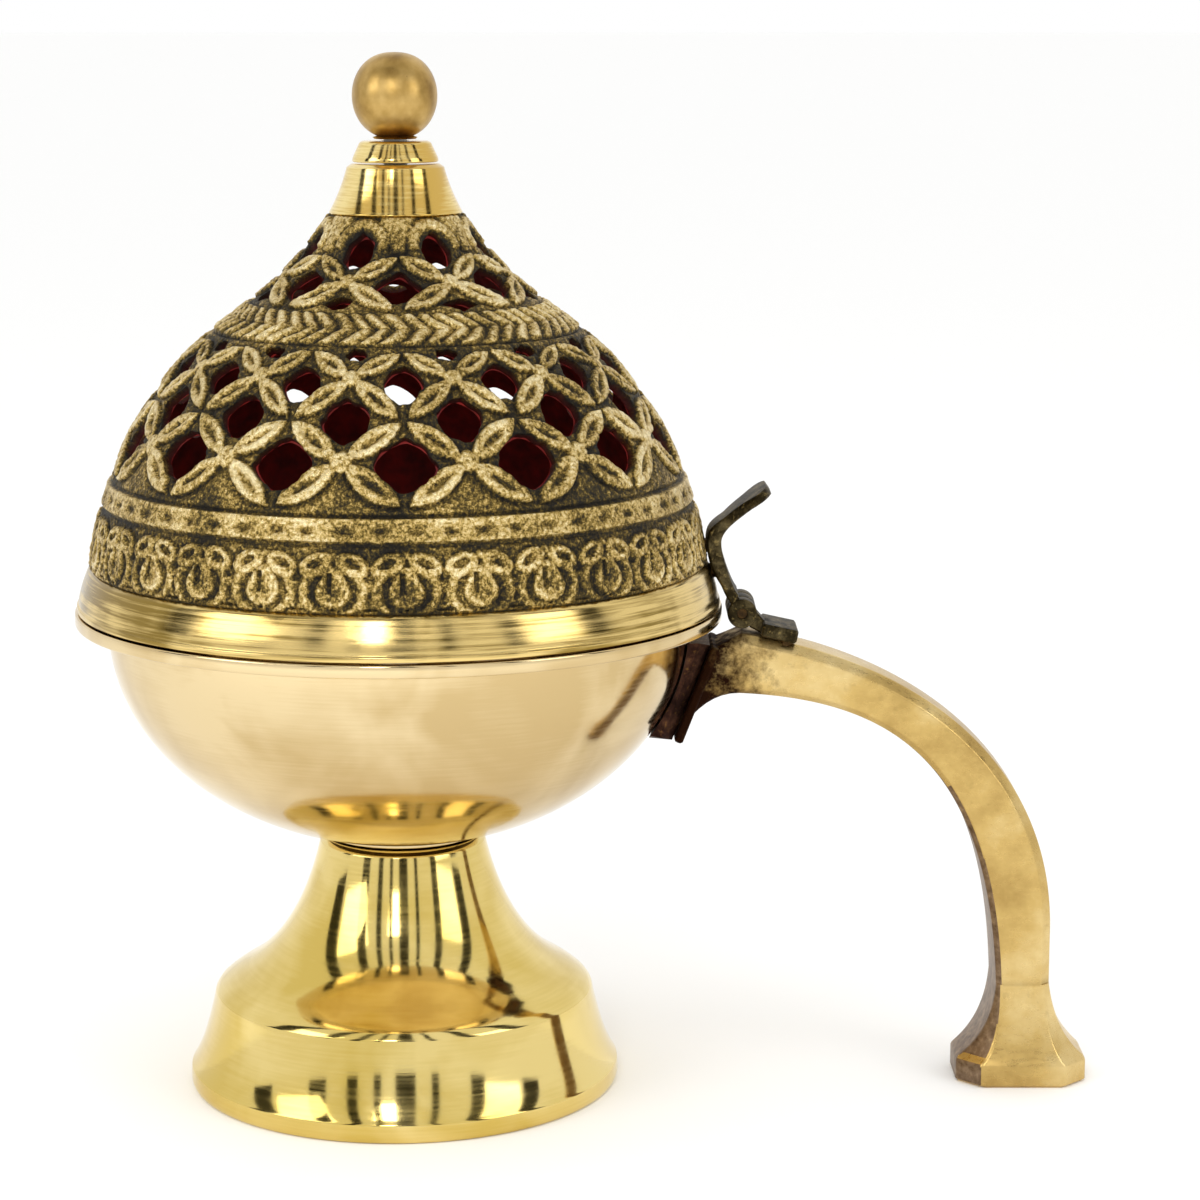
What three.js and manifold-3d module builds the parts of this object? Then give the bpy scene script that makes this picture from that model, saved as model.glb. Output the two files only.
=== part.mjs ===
// Pierced brass incense burner on a pedestal: a bowl for charcoal, a hinged onion-shaped lid
// opened with a thumb lever, and an arched handle that runs down to a foot of its own.
// Millimetres, +Z up. Everything is drawn round the axis of the bowl, with the handle towards +X and
// the hinge pin along Y. The finished part is then moved so that its origin is on the floor, under
// the middle of its bounding box.
import * as THREE from "three";
import { mergeVertices } from "three/addons/utils/BufferGeometryUtils.js";
import Module from "manifold-3d";

const wasm = await Module();
wasm.setup();

// ---------------------------------------------------------------- driving dimensions
const GAP = 0.3; // between pieces that rest on, or are brazed to, each other
const RUNNING = 0.06; // radial clearance of the hinge pin in its knuckles
const FIT = 0.25; // radial clearance of a bolt or rivet in its hole
const TURNS = 40; // facets round the large turned pieces
const SMALL_TURNS = 12; // facets round knob, pins, rivets and bolts

// pedestal
const PEDESTAL_R = 38.6; // at the floor
const PEDESTAL_NECK_R = 14.8;
const PEDESTAL_H = 45.2;
const SHOULDER_R = PEDESTAL_R - 5; // crease between the flare and the skirt
const SHOULDER_Z = 17.6;
const PEDESTAL_WALL = 1.4;
const PEDESTAL_WEB = 3.5; // thickness of the solid top that the bolt clamps

// bowl
const BOWL_R = 51.3;
const BOWL_H = 41.5; // from the foot of its neck to the top of its lip
const BOWL_WALL = 1.1;
const BOWL_FLOOR = 2.6;
const BOSS_R = PEDESTAL_NECK_R - 0.8; // short neck that stands on the pedestal
const LIP_OUT = 5.7; // how far the lip stands out past the bowl
const RIM_R = BOWL_R + LIP_OUT;
const RIM_T = 2.2; // thickness of the lip
const BOWL_FOOT_Z = PEDESTAL_H + GAP;
const LIP_Z = BOWL_FOOT_Z + BOWL_H; // top face of the lip, where the lid lands

// lid
const LID_R = RIM_R - 0.4;
const BAND_H = 7.4; // plain turned band above the lip
const BAND_TOP_R = LID_R - 2.3;
const LID_WALL = 1.5;
const LID_RIM_T = 2.4; // thickness of the turned band where it lands on the lip
const DOME_H = 68.9; // from the band to the top of the neck
const LID_Z = LIP_Z + GAP;
const BAND_TOP = LID_Z + BAND_H;
const NECK_Z = BAND_TOP + DOME_H;
const NECK_R = 8.4;
const NECK_WEB = 4;
const PIERCINGS = 14; // openings round each row of the large lattice
const PIERCING_TURN = -85.2; // degrees from +X to the first opening

// finial
const COLLAR_BASE_R = NECK_R - 0.8;
const COLLAR_TOP_R = NECK_R - 2.4;
const COLLAR_H = 3.6;
const KNOB_R = 7.4;
const KNOB_H = 14.8;
const STUD_R = 2;

// bolt that holds the bowl on the pedestal
const BOLT_R = 2.4;
const BOLT_HEAD_R = BOLT_R + 2;
const BOLT_HEAD_H = 2.4;
const WASHER_R = BOLT_HEAD_R + 2.1;
const WASHER_T = 1;
const NUT_H = 3.8;
const NUT_WALL = 2.2; // from the thread to the corners of a hexagon nut

// handle, bracket and rivets
const HANDLE_REACH = 66; // from the rim to the outer edge of the foot
const ARCH_T = 10.7; // thickness of the bar where it leaves the flange
const LEG_T = 9.6;
const FOOT_L = 23.4;
const HANDLE_W = 11;
const LEG_W = 13;
const FOOT_W = 18;
const FLANGE_W = 15;
const FLANGE_T = 1.6;
const BRACKET_W = 17;
const BRACKET_CHAMFER = 2;
const RIVET_R = 1.3;
const RIVET_HEAD_R = 2.3;
const RIVET_HEAD_H = 1;
const RIVET_SPREAD = 4.2; // half the distance between the two handle rivets

// hinge
const PIN_R = 0.9;
const KNUCKLE_R = 2.6;
const PIN_X = RIM_R + KNUCKLE_R + 0.8;
const PIN_Z = LIP_Z - 1.1;
const HINGE_W = 11;
const MIDDLE_KNUCKLE_W = 4;
const KNUCKLE_GAP = 0.3;
const LEAF_T = 1.8;
const LEVER_W = 13; // across the spoon-shaped tip
const STRAP_W = 8;

// ---------------------------------------------------------------- helpers
const materials = {
  polishedBrass: { color: 0xe0bd6a, roughness: 0.16, metalness: 1 },
  castBrass: { color: 0xa88a45, roughness: 0.5, metalness: 1 },
  darkBrass: { color: 0x4a3a24, roughness: 0.55, metalness: 0.9 },
  steel: { color: 0x9a9a98, roughness: 0.35, metalness: 1 },
};

// A closed three.js geometry as a manifold solid.
function solid(geometry) {
  const bare = new THREE.BufferGeometry();
  const flat = geometry.index ? geometry.toNonIndexed() : geometry;
  bare.setAttribute("position", flat.getAttribute("position"));
  const merged = mergeVertices(bare, 1e-4);
  const index = merged.index.array;
  const triangles = [];
  for (let i = 0; i < index.length; i += 3) {
    const [a, b, c] = [index[i], index[i + 1], index[i + 2]];
    if (a !== b && b !== c && c !== a) triangles.push(a, b, c);
  }
  return new wasm.Manifold(
    new wasm.Mesh({
      numProp: 3,
      vertProperties: merged.attributes.position.array,
      triVerts: new Uint32Array(triangles),
    }),
  );
}

// The named mesh of a solid.
function piece(name, body, finish) {
  const made = body.getMesh();
  const geometry = new THREE.BufferGeometry();
  geometry.setAttribute("position", new THREE.BufferAttribute(made.vertProperties, 3));
  geometry.setIndex(new THREE.BufferAttribute(made.triVerts, 1));
  geometry.computeVertexNormals();
  const mesh = new THREE.Mesh(geometry, new THREE.MeshStandardMaterial(materials[finish]));
  mesh.name = name;
  return mesh;
}

// A solid turned about Z from [radius, height] points that run up the outside and down the inside.
function turned(points, turns = TURNS) {
  const outline = points.map(([r, z]) => new THREE.Vector2(r, z));
  return solid(new THREE.LatheGeometry(outline, turns).rotateX(Math.PI / 2));
}

// Points along a THREE path, as [x, y] pairs.
function along(path, divisions) {
  return path.getPoints(divisions).map((p) => [p.x, p.y]);
}

// The polyline of [radius, height] points moved towards the inside by a wall thickness.
function inset(points, wall) {
  return points.map(([r, z], i) => {
    const [r0, z0] = points[Math.max(i - 1, 0)];
    const [r1, z1] = points[Math.min(i + 1, points.length - 1)];
    const length = Math.hypot(r1 - r0, z1 - z0);
    return [r - (wall * (z1 - z0)) / length, z + (wall * (r1 - r0)) / length];
  });
}

// A side outline in X and Z, made as thick as width along Y and centred on Y = 0.
function sideProfile(shape, width, curveSegments = 8) {
  const geometry = new THREE.ExtrudeGeometry(shape, { depth: width, bevelEnabled: false, curveSegments });
  return solid(geometry.rotateX(Math.PI / 2).translate(0, width / 2, 0));
}

// A front outline in Y and Z, extruded along X from 0 to length.
function frontProfile(shape, length) {
  const geometry = new THREE.ExtrudeGeometry(shape, { depth: length, bevelEnabled: false, curveSegments: 6 });
  return solid(geometry.rotateX(Math.PI / 2).rotateZ(Math.PI / 2));
}

// A plan outline in X and Y, extruded up from the floor.
function planProfile(shape, height) {
  return solid(new THREE.ExtrudeGeometry(shape, { depth: height, bevelEnabled: false }));
}

function polygon(points) {
  return new THREE.Shape(points.map(([x, y]) => new THREE.Vector2(x, y)));
}

// A round bar along an axis, from one end point.
function bar(radius, length, from, direction, turns = SMALL_TURNS) {
  const geometry = new THREE.CylinderGeometry(radius, radius, length, turns).translate(0, length / 2, 0);
  const turn = new THREE.Quaternion().setFromUnitVectors(
    new THREE.Vector3(0, 1, 0),
    new THREE.Vector3(...direction).normalize(),
  );
  return solid(geometry.applyQuaternion(turn).translate(...from));
}

// ---------------------------------------------------------------- pedestal
// Hollow casting: ogee skirt, sharp shoulder, trumpet flare and a solid web under the bowl.
function pedestalOutline() {
  const path = new THREE.Path();
  path.moveTo(PEDESTAL_R - 0.9, 0);
  path.quadraticCurveTo(PEDESTAL_R, 0.2, PEDESTAL_R, 1.6);
  path.lineTo(PEDESTAL_R - 0.1, 3.4);
  path.bezierCurveTo(PEDESTAL_R - 2, 6, SHOULDER_R + 1.4, SHOULDER_Z - 6, SHOULDER_R, SHOULDER_Z);
  path.quadraticCurveTo(SHOULDER_R - 0.8, SHOULDER_Z + 1.6, SHOULDER_R - 4.4, SHOULDER_Z + 4);
  path.bezierCurveTo(SHOULDER_R - 9, SHOULDER_Z + 7.2, PEDESTAL_NECK_R + 3.4, SHOULDER_Z + 12,
    PEDESTAL_NECK_R, PEDESTAL_H - 1);
  path.lineTo(PEDESTAL_NECK_R - 0.8, PEDESTAL_H);
  return along(path, 3);
}

function makePedestal() {
  const outside = pedestalOutline();
  const hollowTop = PEDESTAL_H - PEDESTAL_WEB;
  const hollow = inset(outside, PEDESTAL_WALL).filter(([, z]) => z > 3 && z < hollowTop - 2);
  const [innerR] = hollow[hollow.length - 1];
  const inside = [[PEDESTAL_R - PEDESTAL_WALL - 1, 0], ...hollow, [innerR - 0.6, hollowTop]];
  const hole = BOLT_R + FIT;
  const shell = turned([...outside, [hole, PEDESTAL_H], [hole, hollowTop], ...inside.reverse(), outside[0]]);
  return piece("pedestal", shell, "polishedBrass");
}

// ---------------------------------------------------------------- bowl
const BOWL_CENTRE_Z = LIP_Z - RIM_T - 0.8; // level of the ellipse's centre
const BOWL_SINK = 0.9; // the ellipse's lowest point lies this far below the foot of the neck
const BOWL_DEPTH = BOWL_CENTRE_Z - BOWL_FOOT_Z + BOWL_SINK; // half axis of the ellipse

// Radius of the bowl's ellipse, grown by an offset, at a height.
function bowlRadius(z, offset = 0) {
  const share = (BOWL_CENTRE_Z - z) / (BOWL_DEPTH + offset);
  return (BOWL_R + offset) * Math.sqrt(Math.max(0, 1 - share * share));
}

// Points of that ellipse from a low radius up to the level of its centre.
function bowlArc(offset, fromRadius, steps) {
  const start = Math.asin(fromRadius / (BOWL_R + offset));
  return Array.from({ length: steps + 1 }, (_, i) => {
    const angle = start + ((Math.PI / 2 - start) * i) / steps;
    return [(BOWL_R + offset) * Math.sin(angle), BOWL_CENTRE_Z - (BOWL_DEPTH + offset) * Math.cos(angle)];
  });
}

const BOWL_FLOOR_Z = BOWL_FOOT_Z + BOWL_FLOOR;

function makeBowl() {
  const outside = [[BOSS_R, BOWL_FOOT_Z], [BOSS_R, BOWL_FOOT_Z + 1.2], ...bowlArc(0, BOSS_R + 2.4, 7)];
  const inside = bowlArc(-BOWL_WALL, BOSS_R, 6).filter(([, z]) => z > BOWL_FLOOR_Z);
  const [floorR] = inside[0];
  const hole = BOLT_R + FIT;
  const shell = turned([
    [hole, BOWL_FOOT_Z],
    ...outside,
    [BOWL_R + 0.6, LIP_Z - RIM_T],
    [RIM_R, LIP_Z - RIM_T],
    [RIM_R, LIP_Z],
    [BOWL_R - BOWL_WALL, LIP_Z],
    ...inside.reverse(),
    [Math.min(floorR, BOSS_R) - 1.5, BOWL_FLOOR_Z],
    [hole, BOWL_FLOOR_Z],
    [hole, BOWL_FOOT_Z],
  ]);
  return shell;
}

// Everything that the bowl fills, grown by an offset: what stands against it is cut with this.
function bowlEnvelope(offset) {
  return turned([[0, BOWL_FOOT_Z - 1.5], ...bowlArc(offset, 5, 10), [BOWL_R + offset, LIP_Z], [0, LIP_Z]]);
}

// Bolt with a round head in the bowl, washer, and hexagon nut up inside the pedestal.
function pedestalFixing() {
  const washerZ = BOWL_FLOOR_Z + GAP;
  const headZ = washerZ + WASHER_T + GAP;
  const nutZ = PEDESTAL_H - PEDESTAL_WEB - GAP - NUT_H;
  const head = [[0, nutZ - 1.5], [BOLT_R, nutZ - 1.5], [BOLT_R, headZ], [BOLT_HEAD_R, headZ],
    [BOLT_HEAD_R * 0.8, headZ + BOLT_HEAD_H * 0.7], [BOLT_HEAD_R * 0.4, headZ + BOLT_HEAD_H],
    [0, headZ + BOLT_HEAD_H]];
  const hole = BOLT_R + FIT;
  const washer = [[hole, washerZ], [WASHER_R, washerZ], [WASHER_R, washerZ + WASHER_T],
    [hole, washerZ + WASHER_T], [hole, washerZ]];
  const nut = bar(BOLT_R + NUT_WALL, NUT_H, [0, 0, nutZ], [0, 0, 1], 6)
    .subtract(bar(hole, NUT_H + 2, [0, 0, nutZ - 1], [0, 0, 1]));
  return [
    piece("pedestal_bolt", turned(head, SMALL_TURNS), "darkBrass"),
    piece("pedestal_washer", turned(washer, SMALL_TURNS), "darkBrass"),
    piece("pedestal_nut", nut, "steel"),
  ];
}

// ---------------------------------------------------------------- lid
// A point of the dome's outline, as shares of the way out from the neck and up from the band.
function domePoint(out, up) {
  return [NECK_R + out * (BAND_TOP_R - NECK_R), BAND_TOP + up * DOME_H];
}

// Outside of the lid: full onion dome, hollow shoulder and neck.
function domeOutline() {
  const path = new THREE.Path();
  path.moveTo(BAND_TOP_R, BAND_TOP);
  const waist = domePoint(0.4553, 0.6255); // where the full curve turns into the hollow one
  path.bezierCurveTo(...domePoint(0.9695, 0.1713), ...domePoint(0.8214, 0.4528), ...waist);
  path.bezierCurveTo(...domePoint(0.1656, 0.762), ...domePoint(0.0479, 0.881), NECK_R, NECK_Z);
  return along(path, 6);
}

// Radius and slope of the dome at a height, from its outline.
function domeAt(z) {
  const points = domeOutline();
  const i = points.findIndex(([, height]) => height > z);
  const [[r0, z0], [r1, z1]] = [points[i - 1], points[i]];
  return { r: r0 + ((r1 - r0) * (z - z0)) / (z1 - z0), slope: Math.atan2(r0 - r1, z1 - z0) };
}

// A diamond opening through the wall, square to it, at a height and an angle round the axis.
function piercing(z, angle, width, height) {
  const { r, slope } = domeAt(z);
  const shape = polygon([[width / 2, 0], [0, height / 2], [-width / 2, 0], [0, -height / 2]]);
  const depth = 4 * LID_WALL;
  const cutter = new THREE.ExtrudeGeometry(shape, { depth, bevelEnabled: false })
    .translate(0, 0, -depth / 2)
    .rotateX(Math.PI / 2 - slope)
    .rotateZ(Math.PI / 2)
    .translate(r, 0, z)
    .rotateZ(THREE.MathUtils.degToRad(angle));
  return solid(cutter);
}

// Rows of openings: share of the way up the dome, width and height of each, how many,
// and the row's shift in steps.
const PIERCED_ROWS = [
  { up: 0.3367, width: 11, height: 10, count: PIERCINGS, shift: 0 },
  { up: 0.4369, width: 9, height: 9.4, count: PIERCINGS, shift: 0.5 },
  { up: 0.5152, width: 7.6, height: 7.6, count: PIERCINGS, shift: 0 },
  { up: 0.7213, width: 9, height: 7.6, count: PIERCINGS / 2, shift: 0 },
  { up: 0.8113, width: 6, height: 6.4, count: PIERCINGS / 2, shift: 0.5 },
];

// Radius of the lid's inner face at a height, up to where the dome curves in.
function lidInnerRadius(z) {
  const top = BAND_TOP + 0.4;
  const topR = domeAt(top).r - LID_WALL;
  const landingR = LID_R - LID_RIM_T;
  return z > top ? domeAt(z).r - LID_WALL : landingR + ((topR - landingR) * (z - LID_Z)) / (top - LID_Z);
}

const LID_RIVET_HEIGHTS = [BAND_TOP - 1.9, BAND_TOP + 2.6];

function makeLid() {
  const dome = domeOutline();
  const neckTop = NECK_Z - NECK_WEB;
  const inside = inset(dome, LID_WALL).filter(([, z]) => z > BAND_TOP && z < neckTop - 1);
  const [innerR] = inside[inside.length - 1];
  const hole = STUD_R + FIT;
  let lid = turned([
    [LID_R - LID_RIM_T, LID_Z],
    [LID_R, LID_Z],
    [LID_R - 0.5, LID_Z + BAND_H / 2],
    ...dome,
    [COLLAR_BASE_R, NECK_Z + 0.6],
    [hole, NECK_Z + 0.6],
    [hole, neckTop],
    [innerR - 0.4, neckTop],
    ...inside.reverse(),
    [LID_R - LID_RIM_T, LID_Z],
  ]);
  for (const row of PIERCED_ROWS) {
    for (let k = 0; k < row.count; k++) {
      const angle = PIERCING_TURN + ((k + row.shift) * 360) / row.count;
      lid = lid.subtract(piercing(BAND_TOP + row.up * DOME_H, angle, row.width, row.height));
    }
  }
  for (const z of LID_RIVET_HEIGHTS) {
    lid = lid.subtract(bar(RIVET_R + FIT, 12, [LID_R - 9, 0, z], [1, 0, 0], 10));
  }
  return piece("lid", lid, "castBrass");
}

// ---------------------------------------------------------------- finial
// Turned collar and ball, drawn down on the neck by a stud and a nut under the neck's web.
function finial() {
  const collarZ = NECK_Z + 0.6 + GAP;
  const knobZ = collarZ + COLLAR_H + GAP;
  const nutH = 3;
  const nutZ = NECK_Z - NECK_WEB - GAP - nutH;
  const studTop = knobZ + KNOB_H * 0.55;
  const hole = STUD_R + FIT;
  const collar = [[hole, collarZ], [COLLAR_BASE_R, collarZ], [COLLAR_TOP_R, collarZ + COLLAR_H],
    [hole, collarZ + COLLAR_H], [hole, collarZ]];
  const ball = Array.from({ length: 9 }, (_, i) => {
    const angle = (Math.PI * (i + 0.9)) / 10;
    const up = 1 - Math.cos(angle) / Math.cos(Math.PI * 0.09);
    return [KNOB_R * Math.sin(angle), knobZ + (KNOB_H * up) / 2];
  });
  const knob = [[hole, knobZ], ...ball, [0, knobZ + KNOB_H], [0, studTop + GAP], [hole, studTop + GAP],
    [hole, knobZ]];
  const nut = bar(STUD_R + NUT_WALL, nutH, [0, 0, nutZ], [0, 0, 1], 6)
    .subtract(bar(hole, nutH + 2, [0, 0, nutZ - 1], [0, 0, 1]));
  return [
    piece("finial_collar", turned(collar, 24), "polishedBrass"),
    piece("finial_knob", turned(knob, 24), "polishedBrass"),
    piece("finial_stud", bar(STUD_R, studTop - nutZ + 1.2, [0, 0, nutZ - 1.2], [0, 0, 1]), "steel"),
    piece("finial_nut", nut, "steel"),
  ];
}

// ---------------------------------------------------------------- handle and bracket
// The flange leans with the bowl: its inner face runs from FLANGE_LOW up to FLANGE_HIGH.
const FLANGE_LOW = [bowlRadius(LIP_Z - 23.6) + 4.67, LIP_Z - 23.6];
const FLANGE_HIGH = [bowlRadius(LIP_Z - 6.6) + 3.92, LIP_Z - 6.6];
const FLANGE_LENGTH = Math.hypot(FLANGE_HIGH[0] - FLANGE_LOW[0], FLANGE_HIGH[1] - FLANGE_LOW[1]);
const FLANGE_UP = [
  (FLANGE_HIGH[0] - FLANGE_LOW[0]) / FLANGE_LENGTH,
  (FLANGE_HIGH[1] - FLANGE_LOW[1]) / FLANGE_LENGTH,
];
const FLANGE_OUT = [FLANGE_UP[1], -FLANGE_UP[0]];

// A point up along the flange's inner face, and out from it.
function flangePoint(up, out) {
  return [
    FLANGE_LOW[0] + FLANGE_UP[0] * up + FLANGE_OUT[0] * out,
    FLANGE_LOW[1] + FLANGE_UP[1] * up + FLANGE_OUT[1] * out,
  ];
}

const SEAT_START = [PIN_X, PIN_Z - KNUCKLE_R - 1.1]; // flat on top of the handle, for the hinge's lower leaf
const SEAT_END = [PIN_X + 10.6, SEAT_START[1] - 2.3];
const FOOT_X = [RIM_R + HANDLE_REACH - FOOT_L, RIM_R + HANDLE_REACH];
const FOOT_EDGE = 3.6; // height of the foot's upright edge
const LEG_X = [FOOT_X[1] - 7 - LEG_T, FOOT_X[1] - 7]; // the leg just above the foot
const LEG_FOOT_Z = 18.5;
const ARCH_START = [PIN_X - 0.4, SEAT_START[1] - ARCH_T]; // where the arch's underside leaves the flange

// Side view of the bar, from the flange over the arch and down to the foot.
function handleShape() {
  const shape = new THREE.Shape();
  shape.moveTo(...flangePoint(2.4, 0.4));
  shape.lineTo(...flangePoint(FLANGE_LENGTH - 0.4, 0.4));
  shape.lineTo(...SEAT_START);
  shape.lineTo(...SEAT_END);
  const over = SEAT_END[0] + 0.556 * (LEG_X[1] - SEAT_END[0]);
  shape.bezierCurveTo(over, SEAT_END[1] - 6.7, LEG_X[1] + 0.6, 0.7 * SEAT_END[1], LEG_X[1], LEG_FOOT_Z + 8.5);
  shape.lineTo(LEG_X[1], LEG_FOOT_Z);
  shape.quadraticCurveTo(LEG_X[1] + 1.2, 9.5, FOOT_X[1], FOOT_EDGE + 1.8);
  shape.lineTo(FOOT_X[1], 0);
  shape.lineTo(FOOT_X[0], 0);
  shape.lineTo(FOOT_X[0], FOOT_EDGE + 1.8);
  shape.quadraticCurveTo(LEG_X[0] - 0.6, 9.5, LEG_X[0], LEG_FOOT_Z);
  const under = ARCH_START[0] + 0.539 * (LEG_X[0] - ARCH_START[0]);
  shape.bezierCurveTo(LEG_X[0] - 1.8, 0.742 * SEAT_START[1], under, ARCH_START[1] - 1.2, ...ARCH_START);
  shape.quadraticCurveTo(FLANGE_HIGH[0] - 0.6, ARCH_START[1] + 0.1, ...flangePoint(2.4, 0.4));
  return shape;
}

// Front view of the same bar: narrow at the arch, wider down the leg, spread at the foot.
function handleFront() {
  const half = [[HANDLE_W / 2, LIP_Z + 3], [HANDLE_W / 2, LEG_FOOT_Z + 39.5], [LEG_W / 2, LEG_FOOT_Z + 9.5],
    [LEG_W / 2, LEG_FOOT_Z], [LEG_W / 2 + 0.5, FOOT_EDGE + 7.9], [LEG_W / 2 + 1.4, FOOT_EDGE + 3.8],
    [FOOT_W / 2, FOOT_EDGE], [FOOT_W / 2, 0]];
  const mirrored = half.map(([y, z]) => [-y, z]).reverse();
  return polygon([...half, ...mirrored]);
}

// Plan of the same bar: the foot's corners are cut off.
function handlePlan() {
  const [x0, x1] = FOOT_X;
  const cut = 4;
  const y = FOOT_W / 2;
  const start = FLANGE_LOW[0] - 8;
  return polygon([[start, -y], [x0 - 1, -y], [x0, -y + cut], [x0 + cut, -y], [x1 - cut, -y], [x1, -y + cut],
    [x1, y - cut], [x1 - cut, y], [x0 + cut, y], [x0, y - cut], [x0 - 1, y], [start, y]]);
}

const RIVET_UP = 4.1; // how far up the flange its two rivets sit
const BASE_RIVET_X = PIN_X + 7.8; // the two rivets of the hinge's lower leaf
const BASE_RIVET_SPREAD = Math.min(HINGE_W, HANDLE_W) / 2 - 2.3;
const BASE_RIVET_DEPTH = 4;
const SEAT_TILT = Math.atan2(SEAT_START[1] - SEAT_END[1], SEAT_END[0] - SEAT_START[0]);
const SEAT_DOWN = [-Math.sin(SEAT_TILT), 0, -Math.cos(SEAT_TILT)];
const LEAF_BASE_T = 2.4;

// Height of the handle's hinge seat at an X.
function seatZ(x) {
  return SEAT_START[1] - (x - SEAT_START[0]) * Math.tan(SEAT_TILT);
}

// Top of a lower-leaf rivet, flush with the leaf.
function baseRivetTop(side) {
  const up = LEAF_BASE_T + GAP;
  const x = BASE_RIVET_X - SEAT_DOWN[0] * up;
  return [x, side * BASE_RIVET_SPREAD, seatZ(BASE_RIVET_X) - SEAT_DOWN[2] * up];
}

// Centre of a handle rivet at its outer, flush end.
function handleRivetStart(side) {
  const [x, z] = flangePoint(RIVET_UP, FLANGE_T);
  return [x, side * RIVET_SPREAD, z];
}

const INWARD = [-FLANGE_OUT[0], 0, -FLANGE_OUT[1]];

function makeHandle() {
  let handle = sideProfile(handleShape(), FOOT_W, 7)
    .intersect(frontProfile(handleFront(), FOOT_X[1] + 17))
    .intersect(planProfile(handlePlan(), LIP_Z + 3));
  const corners = [[0, 0], [FLANGE_LENGTH, 0], [FLANGE_LENGTH, FLANGE_T], [0, FLANGE_T]];
  const flange = polygon(corners.map(([up, out]) => flangePoint(up, out)));
  handle = handle.add(sideProfile(flange, FLANGE_W));
  for (const side of [-1, 1]) {
    const [x, y, z] = handleRivetStart(side);
    const start = [x - 3 * INWARD[0], y, z - 3 * INWARD[2]];
    handle = handle.subtract(bar(RIVET_R + FIT, 9, start, INWARD, 10));
    const depth = LEAF_BASE_T + GAP + BASE_RIVET_DEPTH + GAP;
    handle = handle.subtract(bar(RIVET_R + FIT, depth, baseRivetTop(side), SEAT_DOWN, 10));
  }
  return piece("handle", handle, "polishedBrass");
}

// Block brazed between the bowl and the flange, hollowed to the bowl's curve.
function makeBracket() {
  const outline = polygon([flangePoint(0, -GAP), flangePoint(FLANGE_LENGTH, -GAP),
    [BOWL_R - 6, flangePoint(FLANGE_LENGTH, -GAP)[1]], [BOWL_R - 16, FLANGE_LOW[1] + 3]]);
  const half = BRACKET_W / 2;
  let block = sideProfile(outline, BRACKET_W).subtract(bowlEnvelope(GAP));
  for (const side of [-1, 1]) {
    const chamfer = polygon([flangePoint(-4, 1), flangePoint(FLANGE_LENGTH + 4, 1),
      flangePoint(FLANGE_LENGTH + 4, -GAP - BRACKET_CHAMFER), flangePoint(-4, -GAP - BRACKET_CHAMFER)]);
    const wedge = solid(new THREE.ExtrudeGeometry(chamfer, { depth: 4, bevelEnabled: false })
      .rotateX(Math.PI / 2).translate(0, 2, 0));
    block = block.subtract(wedge.translate([0, side * (half + 2 - BRACKET_CHAMFER / 2), 0]));
    const [x, y, z] = handleRivetStart(side);
    block = block.subtract(bar(RIVET_R + FIT, 14, [x, y, z], INWARD, 10));
  }
  return piece("bowl_bracket", block, "darkBrass");
}

// How far in from the flange's outer face the inside of the bowl's wall lies, on a rivet's axis.
function rivetReach() {
  const [x, y, z] = handleRivetStart(1);
  const step = 0.05;
  let reach = FLANGE_T;
  while (Math.hypot(x + INWARD[0] * reach, y) > bowlRadius(z + INWARD[2] * reach, -BOWL_WALL)) reach += step;
  return reach;
}

function handleRivets() {
  const reach = rivetReach() + GAP + 0.3;
  return [-1, 1].map((side) => {
    const [x, y, z] = handleRivetStart(side);
    const headAt = [x + INWARD[0] * reach, y, z + INWARD[2] * reach];
    const body = bar(RIVET_R, reach + 0.2, [x, y, z], INWARD, 10)
      .add(bar(RIVET_HEAD_R, RIVET_HEAD_H, headAt, INWARD, 10));
    return piece(side < 0 ? "handle_rivet_near" : "handle_rivet_far", body, "darkBrass");
  });
}

// The bowl with the holes for the handle's rivets.
function drilledBowl() {
  let bowl = makeBowl();
  for (const side of [-1, 1]) {
    bowl = bowl.subtract(bar(RIVET_R + FIT, 16, handleRivetStart(side), INWARD, 10));
  }
  return piece("bowl", bowl, "polishedBrass");
}

// ---------------------------------------------------------------- hinge
const knuckle = (width, y, radius = KNUCKLE_R) => bar(radius, width, [PIN_X, y, PIN_Z], [0, 1, 0]);
const pinHole = () => knuckle(HINGE_W + 2, -HINGE_W / 2 - 1, PIN_R + RUNNING);

// Lower leaf: a plate riveted on the handle's seat, with the middle knuckle.
function baseLeaf() {
  const end = SEAT_END[0] - 0.6;
  const start = PIN_X + KNUCKLE_R + KNUCKLE_GAP + 0.3;
  const low = (x) => seatZ(x) + GAP;
  const plate = polygon([[start, low(start)], [end, low(end)], [end, low(end) + LEAF_BASE_T - 0.4],
    [end - 0.6, low(end) + LEAF_BASE_T], [start, low(start) + LEAF_BASE_T]]);
  const inPlate = start + 1; // the knuckle's neck runs this far into the plate
  const neck = polygon([[PIN_X, low(PIN_X)], [inPlate, low(inPlate)], [inPlate, low(inPlate) + LEAF_BASE_T],
    [PIN_X + 1.4, PIN_Z + KNUCKLE_R - 0.5], [PIN_X - 1.4, PIN_Z - KNUCKLE_R + 0.5]]);
  let leaf = sideProfile(plate, HINGE_W)
    .add(sideProfile(neck, MIDDLE_KNUCKLE_W))
    .add(knuckle(MIDDLE_KNUCKLE_W, -MIDDLE_KNUCKLE_W / 2))
    .subtract(pinHole());
  for (const side of [-1, 1]) {
    leaf = leaf.subtract(bar(RIVET_R + FIT, LEAF_BASE_T + 3, baseRivetTop(side).map(
      (value, i) => value - SEAT_DOWN[i]), SEAT_DOWN, 10));
  }
  return piece("hinge_base_leaf", leaf, "darkBrass");
}

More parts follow.
